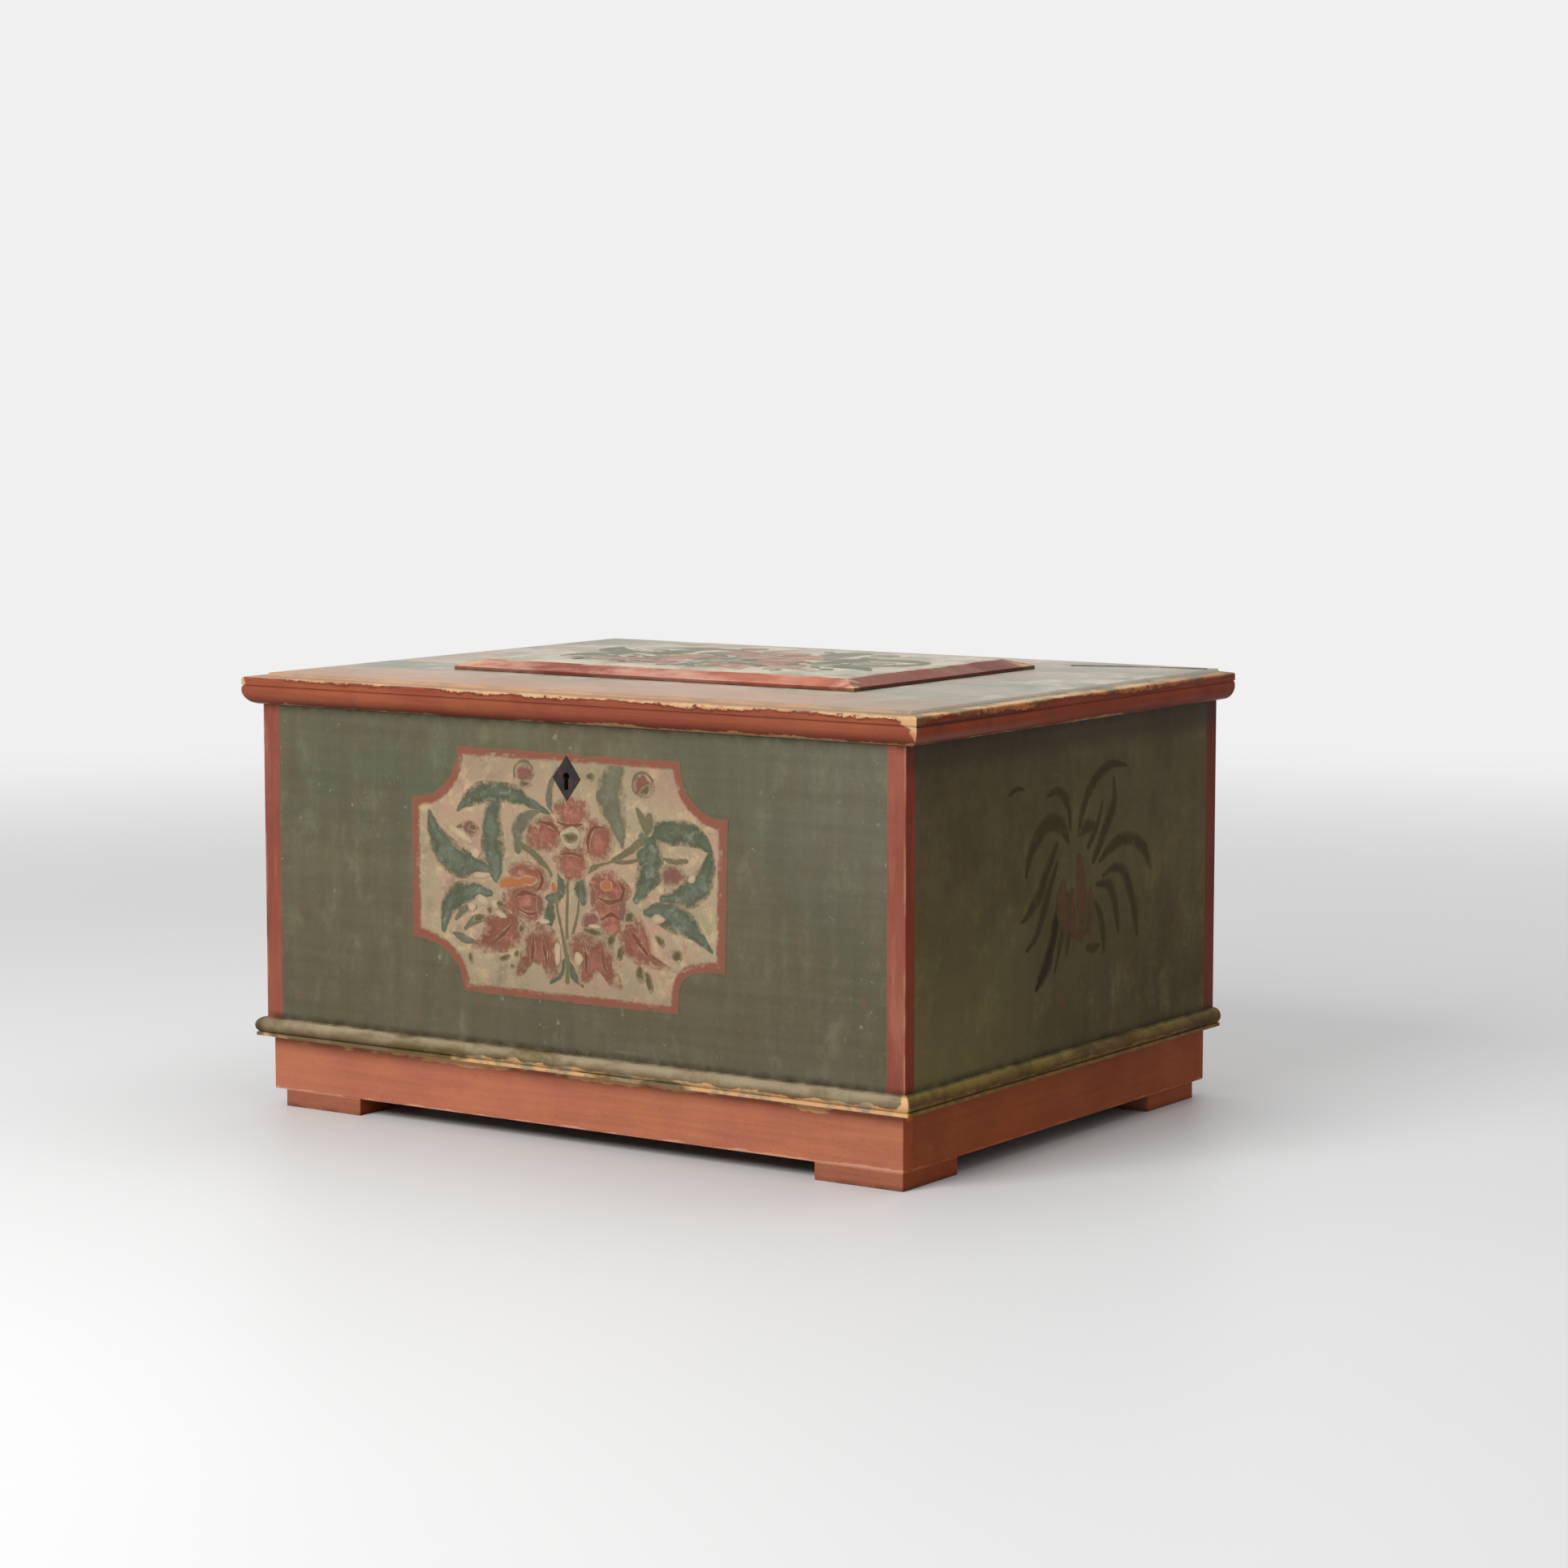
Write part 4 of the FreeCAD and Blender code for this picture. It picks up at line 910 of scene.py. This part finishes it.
def stroke_finish(name, tones, ground, wear, cover=1.0):
    """Brush paint worn through to its ground in places, in tones for its middle, its sides and any flecks."""
    finish = Finish(name)
    middle, sides, *flecks = tones
    below, ground_height = ground(finish)
    mottle = finish.noise(80, 5, offset=171, rough=0.65).swing(1.6)
    ragged = abs(side_mark(finish)) + mottle + finish.noise(260, 4, offset=172, rough=0.7).swing(0.9)
    colour = finish.blend(ragged.rise(0.10, 0.90), middle, sides)
    colour = colour.coat(sides, finish.spots(0.40, 0.62, 42, 5, offset=174, rough=0.65), 0.55)
    for fleck in flecks:
        colour = colour.coat(fleck, finish.spots(0.52, 0.70, 85, 5, offset=177, rough=0.7), 0.55)
    rubbed = finish.spots(0.66 - 0.16 * wear, 0.80 - 0.12 * wear, 55, 6, offset=180, rough=0.75)
    thin = ragged.rise(0.48, 1.16) | rubbed * wear
    colour = finish.blend(thin.span(1 - cover, 0.92), colour, below)
    return finish.close(colour, 0.5, ground_height + mottle.span(0, 0.3), 0.3, specular=0.06)


# The front's cartouche: centre, radii, first angle and squareness of each hollowed corner, in mm and degrees
HOLLOW_CORNERS = (
    (-199, 154, 66, 53, 0, 2.0),
    (-200, 403, 60, 57, 270, 2.0),
    (195, 403, 57, 56, 180, 2.0),
    (192, 155, 57, 47, 90, 3.2),
)
HOLLOW_STEPS = 10
BORDER_LEVEL_HALF = 4.9
BORDER_UPRIGHT_HALF = 6.2
UNDER_ESCUTCHEON = tuple((u, v + KEYHOLE_LEVEL) for u, v in ((0, 16), (-11, 0), (0, -16), (11, 0)))


def cartouche_outline():
    """Points round the cartouche with the border's half-width, clockwise from its lower left corner."""
    outline = []
    for number, (centre_u, centre_v, wide, tall, start, squareness) in enumerate(HOLLOW_CORNERS):
        for step in range(HOLLOW_STEPS + 1):
            share = step / HOLLOW_STEPS
            upright = 1 - share if number % 2 else share
            half = BORDER_LEVEL_HALF + (BORDER_UPRIGHT_HALF - BORDER_LEVEL_HALF) * upright
            angle = math.radians(start + 90 * share)
            reach_u, reach_v = (math.copysign(abs(part) ** (2 / squareness), part)
                                for part in (math.cos(angle), math.sin(angle)))
            outline.append((centre_u + reach_u * wide, centre_v + reach_v * tall, half))
    return outline


def field_patch(outline, hole):
    """The area between an outline and a hole in it, as flat triangles."""
    sheet = bmesh.new()
    for loop in (outline, hole):
        corners = [sheet.verts.new((u, v, 0)) for u, v in loop]
        for one, other in zip(corners, corners[1:] + corners[:1]):
            sheet.edges.new((one, other))
    bmesh.ops.triangle_fill(sheet, edges=sheet.edges, use_beauty=True, normal=(0, 0, 1))
    sheet.verts.index_update()
    flat = [(corner.co.x, corner.co.y) for corner in sheet.verts]
    faces = [tuple(corner.index for corner in face.verts) for face in sheet.faces]
    sheet.free()
    return flat, [0] * len(flat), faces


# Strokes as (u, v, half-width), dabs as (u, v, half-width, half-height) and maybe a turn, outlines as (u, v)
BROAD_LEAVES = (
    ((-143, 340, 1.5), (-131, 351, 6), (-112, 360, 9), (-90, 362, 8.5), (-68, 361, 7.5), (-48, 354, 4.5),
     (-24, 344, 2)),
    ((-93, 354, 7), (-98, 335, 9), (-97, 310, 12), (-95, 290, 10.5), (-92, 274, 5)),
    ((-181, 336, 2), (-174, 316, 8), (-161, 297, 13), (-142, 286, 13), (-120, 283, 9.5), (-99, 278, 4)),
    ((-163, 213, 2.5), (-159, 231, 6.5), (-150, 246, 10), (-135, 254, 9.5), (-116, 257, 6), (-101, 256, 3)),
    ((95, 303, 5), (98, 321, 8), (109, 333, 8.5), (130, 334, 9.5), (150, 335, 10), (168, 329, 7),
     (181, 317, 2.5)),
    ((105, 327, 8), (107, 308, 11), (103, 289, 12), (96, 274, 9), (88, 264, 4)),
    ((180, 319, 2.5), (177, 303, 7), (168, 286, 11), (154, 275, 11.5), (138, 270, 8), (120, 267, 3)),
    ((101, 252, 4), (116, 252, 9), (134, 249, 12), (150, 243, 10), (165, 232, 6), (181, 218, 1.5)),
    ((-9, 281, 3.5), (-8, 271, 5), (-9, 262, 4)),
    ((-10, 261, 3.5), (-17, 257, 5.5), (-25, 256, 3)),
    ((-22, 251, 3.5), (-23, 239, 6), (-25, 227, 3)),
    ((17, 276, 5), (17, 267, 7), (20, 257, 4)),
    ((-3, 192, 3), (-11, 180, 5), (-22, 169, 1.5)),
    ((2, 189, 3), (9, 178, 4), (19, 169, 1.5)),
)
GREY_LEAVES = (
    ((62, 392, 9), (55, 374, 13), (58, 354, 13), (64, 340, 9), (68, 327, 5), (70, 316, 1.5)),
    ((-64, 304, 3.5), (-65, 319, 6), (-60, 331, 7), (-51, 339, 5), (-38, 345, 2)),
    ((-12, 391, 1.5), (-21, 374, 3), (-23, 357, 3.5), (-17, 346, 2)),
    ((-146, 226, 2), (-136, 236, 4), (-122, 240, 3)),
    ((-134, 216, 2), (-122, 226, 4), (-110, 228, 2)),
    ((-149, 210, 1.5), (-137, 206, 4), (-124, 203, 2)),
)
STEMS = (
    ((-62, 310, 3), (-46, 303, 3), (-33, 293, 4), (-21, 281, 2)),
    ((21, 284, 1.5), (33, 292, 2.6), (48, 299, 3), (64, 304, 2.6), (80, 313, 3.4), (94, 321, 3)),
    ((62, 300, 1.5), (76, 301, 1.8), (90, 304, 1.5)),
    ((70, 306, 1.5), (82, 317, 1.8), (93, 326, 1.5)),
    ((89, 356, 1.5), (95, 347, 4), (101, 337, 5)),
    ((104, 349, 3), (105, 341, 4), (103, 334, 4)),
    ((-1, 172, 2.4), (0, 200, 2), (-1, 228, 1.5), (0, 258, 1.5), (1, 282, 1.2)),
    ((-2, 198, 1.6), (-8, 226, 1.5), (-13, 246, 1.4), (-15, 262, 1)),
    ((1, 200, 1.8), (8, 226, 1.6), (13, 243, 1.5), (15, 258, 1.2)),
    ((-144, 322, 1), (-134, 325, 2.6), (-122, 323, 2.8)),
    ((122, 308, 1), (134, 305, 3), (150, 307, 2)),
)
PETALS = (
    (6, 345, 18, 15), (-28, 322, 20, 14, 8), (40, 319, 15, 18), (6, 295, 18, 14),
    (5, 357, 6, 6), (3, 283, 6, 5), (-44, 325, 6, 5),
    (-50, 276, 21, 13, -6), (-58, 250, 20, 13, -4), (-50, 240, 12, 8),
    (53, 272, 20, 14), (53, 247, 19, 15, 6), (60, 232, 10, 6, 30),
)
BELLS = (
    ((-101, 228), (-84, 236), (-68, 232), (-62, 216), (-73, 203), (-96, 199), (-119, 199), (-107, 213)),
    ((71, 236), (90, 239), (101, 228), (105, 211), (114, 203), (127, 199), (101, 200), (84, 204), (75, 214)),
    ((-52, 214), (-36, 222), (-21, 214), (-17, 199), (-17, 186), (-27, 178), (-36, 187), (-44, 189),
     (-52, 180), (-61, 177), (-60, 190), (-54, 202)),
    ((8, 210), (22, 217), (42, 217), (52, 208), (56, 192), (60, 176), (48, 178), (40, 187), (30, 180),
     (20, 177), (18, 188), (10, 198)),
)
BRIGHT_DABS = ((-73, 269, 14, 5, 4), (-50, 273, 9, 4), (50, 275, 6, 4), (-17, 268, 3, 4))
MAUVE_DABS = (
    (31, 236, 10, 9, 20), (-55, 384, 9, 8), (97, 379, 10, 9), (-126, 322, 9, 6, -20), (-35, 250, 4, 10),
    (70, 250, 4, 10), (133, 291, 12, 9), (33, 262, 3, 9),
)
PALE_DABS = (
    (-139, 315, 14, 3, -28), (-119, 297, 5, 4), (-112, 274, 9, 2.5, 4), (-111, 248, 7, 3.5, -20),
    (-125, 240, 4, 3.5), (-93, 245, 5, 3.5), (-87, 235, 6, 2.5, -20), (115, 246, 6, 3.5),
    (-13, 200, 3, 9), (14, 197, 4, 5), (5, 321, 9.5, 8.5), (157, 290, 4, 3, 40), (-30, 232, 5, 2),
    (118, 276, 4, 4), (35, 232, 6, 1.6),
)
PETAL_LINES = (
    ((-12, 336, 1), (4, 333, 2.4), (20, 336, 1)),
    ((-36, 335, 1), (-20, 333, 2.6), (-11, 326, 1)),
    ((28, 308, 1), (27, 320, 2.4), (34, 333, 2.2), (48, 334, 1)),
    ((-8, 303, 1), (6, 305, 2), (20, 302, 1)),
    ((-68, 254, 1), (-56, 260, 2.6), (-40, 258, 1)),
    ((-64, 243, 1), (-50, 238, 2), (-40, 240, 1)),
    ((-36, 284, 1), (-32, 274, 2.8), (-38, 264, 1)),
    ((40, 262, 1), (54, 258, 2.6), (68, 262, 1)),
    ((66, 280, 1), (72, 272, 2.4), (68, 262, 1)),
    ((44, 240, 1), (56, 246, 2.2), (66, 242, 1)),
    ((-98, 204, 1), (-84, 214, 2.6), (-72, 226, 1)),
    ((-44, 214, 1), (-45, 200, 2.6), (-48, 186, 1)),
    ((-32, 213, 1), (-29, 200, 2.2), (-27, 186, 1)),
    ((22, 210, 1), (24, 198, 2.4), (24, 184, 1)),
    ((44, 208, 1), (46, 196, 2.4), (49, 184, 1)),
    ((82, 230, 1), (92, 218, 2.8), (104, 206, 1)),
)
DARK_DABS = (
    (5, 321, 8, 4.5), (-55, 373, 7, 3), (-122, 323, 5, 3), (-127, 187, 2.5, 6), (-115, 229, 6, 3, 15),
    (-101, 238, 3, 4, 20), (-87, 245, 4, 3), (-82, 190, 6, 2.5, 20), (-66, 195, 3.5, 3.5),
    (-60, 222, 3, 4), (55, 218, 3.5, 6, -20), (67, 207, 3, 6, -15), (117, 224, 6, 3, -50),
    (138, 210, 5, 5), (92, 188, 5, 7), (103, 181, 3, 9, 15), (79, 244, 5, 5), (30, 385, 4, 3),
    (33, 226, 12, 3, -6), (-72, 182, 3, 2), (100, 375, 6, 4, 30),
)
ROSETTE_RIMS = (
    ((-68, 380, 1.5), (-64, 390, 3), (-54, 395, 3), (-45, 390, 1.5)),
    ((84, 378, 1.5), (88, 388, 3), (98, 391, 3), (108, 386, 1.5)),
)
END_STROKES = (
    ((-88, 286, 2), (-82, 304, 5), (-66, 323, 7), (-44, 336, 8), (-20, 332, 7), (-4, 314, 3)),
    ((-96, 240, 2), (-78, 250, 5), (-60, 266, 6), (-44, 290, 5), (-28, 312, 3)),
    ((-86, 210, 2), (-68, 222, 4), (-54, 244, 5), (-40, 270, 4), (-26, 294, 2)),
    ((-30, 180, 1.5), (-20, 205, 3), (-12, 232, 4), (-6, 258, 3)),
    ((-46, 364, 1.5), (-26, 368, 4), (-10, 358, 5), (-2, 342, 3), (0, 326, 2)),
    ((-122, 372, 1.5), (-108, 377, 2.5), (-94, 375, 1.5)),
    ((18, 318, 2), (26, 344, 4), (42, 366, 5), (64, 380, 5), (90, 386, 4), (116, 382, 1.5)),
    ((90, 370, 2), (92, 352, 4), (86, 336, 6), (74, 320, 6), (60, 302, 5), (48, 288, 3)),
    ((66, 348, 1.5), (60, 332, 3), (50, 318, 4), (38, 304, 3)),
    ((26, 322, 5), (38, 326, 7), (50, 322, 4)),
    ((62, 286, 2), (84, 298, 5), (108, 304, 6), (134, 302, 6), (156, 290, 6), (170, 270, 2.5)),
    ((70, 270, 2), (92, 276, 4), (114, 268, 6), (128, 248, 6), (137, 226, 5), (143, 200, 2)),
    ((56, 262, 2), (80, 260, 5), (93, 244, 5), (99, 224, 4), (102, 208, 2)),
    ((52, 244, 2), (64, 230, 4), (70, 210, 4), (72, 190, 2)),
    ((38, 198, 3), (50, 196, 5), (61, 198, 2)),
    ((-6, 196, 1.5), (-2, 210, 2.5), (2, 226, 2)),
)
END_DARK_STROKES = (
    ((-66, 168, 2.5), (-50, 185, 7), (-38, 205, 6), (-30, 226, 6), (-22, 246, 4), (-12, 268, 2)),
)
END_REDS = (
    ((20, 294, 3), (23, 272, 6), (25, 250, 7), (27, 228, 4)),
    ((-12, 272, 3), (-16, 258, 7), (-15, 242, 8), (-9, 222, 4)),
    ((6, 260, 3), (5, 244, 5), (4, 228, 5), (8, 214, 2)),
    ((43, 258, 2), (45, 246, 4), (44, 230, 4), (40, 216, 2)),
    ((12, 216, 2), (22, 213, 4), (33, 216, 2)),
)
CRACK = (
    ((262, 258, 1.6), (269, 262, 3.6), (282, 268, 2.0), (318, 281, 1.7), (360, 290, 1.7), (404, 299, 2.2)),
)

# The bouquet's layers: name, height in layers of paint, how its shapes are laid, and the shapes; then the
# tones of the middle, the sides and maybe flecks, on the front and again on the lid
LAYERS = (
    ("leaves", 2, Film.strokes, BROAD_LEAVES,
     ((98, 104, 87), (68, 72, 54), (136, 138, 122)), ((92, 104, 88), (80, 92, 76), (150, 154, 138))),
    ("grey_leaves", 3, Film.strokes, GREY_LEAVES,
     ((108, 106, 88), (92, 88, 68), (130, 128, 110)), ((120, 128, 112), (106, 110, 94))),
    ("stems", 3, Film.strokes, STEMS + ROSETTE_RIMS,
     ((108, 102, 76), (98, 90, 66)), ((100, 104, 84), (100, 98, 80))),
    ("bells", 4, Film.outlines, BELLS,
     ((142, 95, 78), (108, 66, 52), (176, 130, 112)), ((172, 128, 112), (156, 112, 98), (206, 170, 154))),
    ("petals", 5, Film.blobs, PETALS,
     ((154, 103, 85), (114, 68, 53), (184, 136, 116)), ((176, 128, 112), (158, 110, 96), (208, 172, 156))),
    ("mauve", 6, Film.blobs, MAUVE_DABS,
     ((126, 84, 74), (110, 80, 68), (140, 104, 92)), ((150, 122, 112), (142, 120, 110))),
    ("bright", 7, Film.blobs, BRIGHT_DABS,
     ((164, 106, 66), (150, 92, 62)), ((196, 154, 128), (182, 134, 112))),
    ("petal_lines", 8, Film.strokes, PETAL_LINES,
     ((104, 66, 50), (120, 78, 62)), ((146, 92, 80), (158, 104, 92))),
    ("pale", 9, Film.blobs, PALE_DABS,
     ((178, 160, 130), (168, 149, 119)), ((208, 204, 190), (196, 186, 166))),
    ("dark", 10, Film.blobs, DARK_DABS,
     ((84, 76, 52), (108, 96, 70)), ((86, 84, 70), (108, 100, 82))),
)


def border_ground(finish):
    """Green outside the border and cream inside it."""
    green, height = green_ground(finish)
    return finish.blend(side_mark(finish).rise(0.1, -0.1), green, cream_ground(finish)[0]), height


def field_finish():
    finish = Finish("cartouche_field_paint")
    colour, height = cream_ground(finish)
    return finish.close(colour, 0.5, height, 0.3)


def make_cartouche():
    """The front's cream field and its red border."""
    outline = cartouche_outline()
    middle_line = [(u, v) for u, v, half in outline]
    field = Film(on_front, 1).lay(*field_patch(middle_line, UNDER_ESCUTCHEON))
    field.make("cartouche_field", field_finish(), *CASE_PAINT)
    tones = ((131, 79, 63), (129, 86, 69))
    border = Film(on_front, 4).lay(*stroke_patch(outline, closed=True))
    border_paint = stroke_finish("cartouche_border_paint", tones, border_ground, 0.85)
    border.make("cartouche_border", border_paint, *CASE_PAINT)


def make_bouquet(prefix, place, ground, wear, cover, surface):
    """The painted bouquet: leaves first, then the flowers, then the finer touches."""
    for layer, height, lay, shapes, front_tones, lid_tones in LAYERS:
        tones = lid_tones if place is on_panel else front_tones
        paint = stroke_finish(f"{prefix}_{layer}_paint", tones, ground, wear, cover)
        lay(Film(place, height), shapes).make(f"{prefix}_{layer}", paint, *surface)


def make_end_painting():
    """A faded dark plant on each end."""
    faded = stroke_finish("end_stroke_paint", ((54, 43, 14), (62, 51, 20)), green_ground, 0.8, 0.85)
    dark = stroke_finish("end_dark_paint", ((38, 28, 8), (52, 40, 16)), green_ground, 0.5)
    dull = stroke_finish("end_red_paint", ((110, 60, 44), (88, 56, 38)), green_ground, 0.7, 0.62)
    for side, place in (("right", on_right_end), ("left", on_left_end)):
        Film(place, 2).strokes(END_STROKES, END_SPREAD).make(f"end_strokes_{side}", faded, *CASE_PAINT)
        Film(place, 3).strokes(END_DARK_STROKES).make(f"end_dark_stroke_{side}", dark, *CASE_PAINT)
        Film(place, 4).strokes(END_REDS, END_RED_SPREAD).make(f"end_reds_{side}", dull, *CASE_PAINT)


make_cartouche()
make_bouquet("front", on_front, cream_ground, 0.35, 1.0, CASE_PAINT)
make_end_painting()
make_bouquet("lid", on_panel, lid_ground, 1.0, 0.72, LID_PAINT)
# Dirt in the crack and the painted shade of its lifted edge
crack_dirt_and_shade = stroke_finish("crack_dirt_and_shade", ((42, 40, 36), (56, 53, 47)), lid_ground, 0.0)
Film(on_lid, 1).strokes(CRACK).make("lid_crack", crack_dirt_and_shade, *LID_PAINT)


# Floor, light and camera, in metres

FLOOR_RADIUS = 40
FLOOR_ENDS = (1.1, 4.2)
FLOOR_BOUNCE = (170, 168, 164)
FLOOR_TONES = ((210, 210, 210), (215, 215, 215))
DOME_STRENGTH = 0.34
AIM = Vector((0, 0, 0.25))
CAMERA_PLACE = (2.4265, -3.4899, 0.8105)
CAMERA_YAW, CAMERA_PITCH = 0.5972, 0.1085
FOCAL_LENGTH, SENSOR_WIDTH = 90.23, 36


def make_floor():
    """A pale floor that turns into the plain backdrop some way off."""
    bpy.ops.mesh.primitive_circle_add(vertices=96, radius=FLOOR_RADIUS, fill_type="NGON")
    floor = bpy.context.object
    floor.name = "floor"
    finish = Finish("floor_pale")
    seen = finish.seen()
    colour = finish.blend(seen, FLOOR_BOUNCE, finish.blend(finish.noise(1.1, 3, offset=5), *FLOOR_TONES))
    matt = finish.value("ShaderNodeBsdfPrincipled", {"Base Color": colour, "Roughness": 0.5})
    plain = finish.value("ShaderNodeEmission", {"Color": BACKDROP})
    away = finish.value("ShaderNodeVectorMath", {0: finish.place}, "Value", operation="LENGTH")
    finish.show("ShaderNodeOutputMaterial", away.rise(*FLOOR_ENDS) * seen, matt, plain)
    floor.data.materials.append(finish.material)


def make_world():
    """An even studio: the backdrop to the eye, and a dimmer dome as light."""
    world = bpy.data.worlds.new("studio")
    bpy.context.scene.world = world
    world.use_nodes = True
    nodes = Nodes(world.node_tree)
    dome = nodes.value("ShaderNodeBackground", {"Color": WHITE, "Strength": DOME_STRENGTH})
    plain = nodes.value("ShaderNodeBackground", {"Color": BACKDROP, "Strength": 1})
    nodes.show("ShaderNodeOutputWorld", nodes.seen(), dome, plain)


def set_up(name, data, place, way):
    """Puts a lamp or the camera at a place, looking along a direction."""
    holder = new_object(name, data)
    holder.location = place
    holder.rotation_euler = way.to_track_quat("-Z", "Y").to_euler()
    return holder


def make_lamp(name, place, side, watts):
    lamp = bpy.data.lights.new(name, "AREA")
    lamp.size = side
    lamp.energy = watts
    set_up(name, lamp, place, AIM - Vector(place))


def make_camera():
    """The photograph's place and lens, worked out from the chest's edges."""
    camera = bpy.data.cameras.new("camera")
    camera.sensor_width = SENSOR_WIDTH
    camera.lens = FOCAL_LENGTH
    level = math.cos(CAMERA_PITCH)
    way = Vector((-math.sin(CAMERA_YAW) * level, math.cos(CAMERA_YAW) * level, -math.sin(CAMERA_PITCH)))
    bpy.context.scene.camera = set_up("camera", camera, CAMERA_PLACE, way)


make_floor()
make_world()
make_lamp("key_light", (-0.45, -3.3, 2.5), 2.0, 147)
make_lamp("top_light", (0.2, 0.8, 3.4), 2.8, 50)
make_camera()
bpy.context.scene.view_settings.view_transform = "Standard"
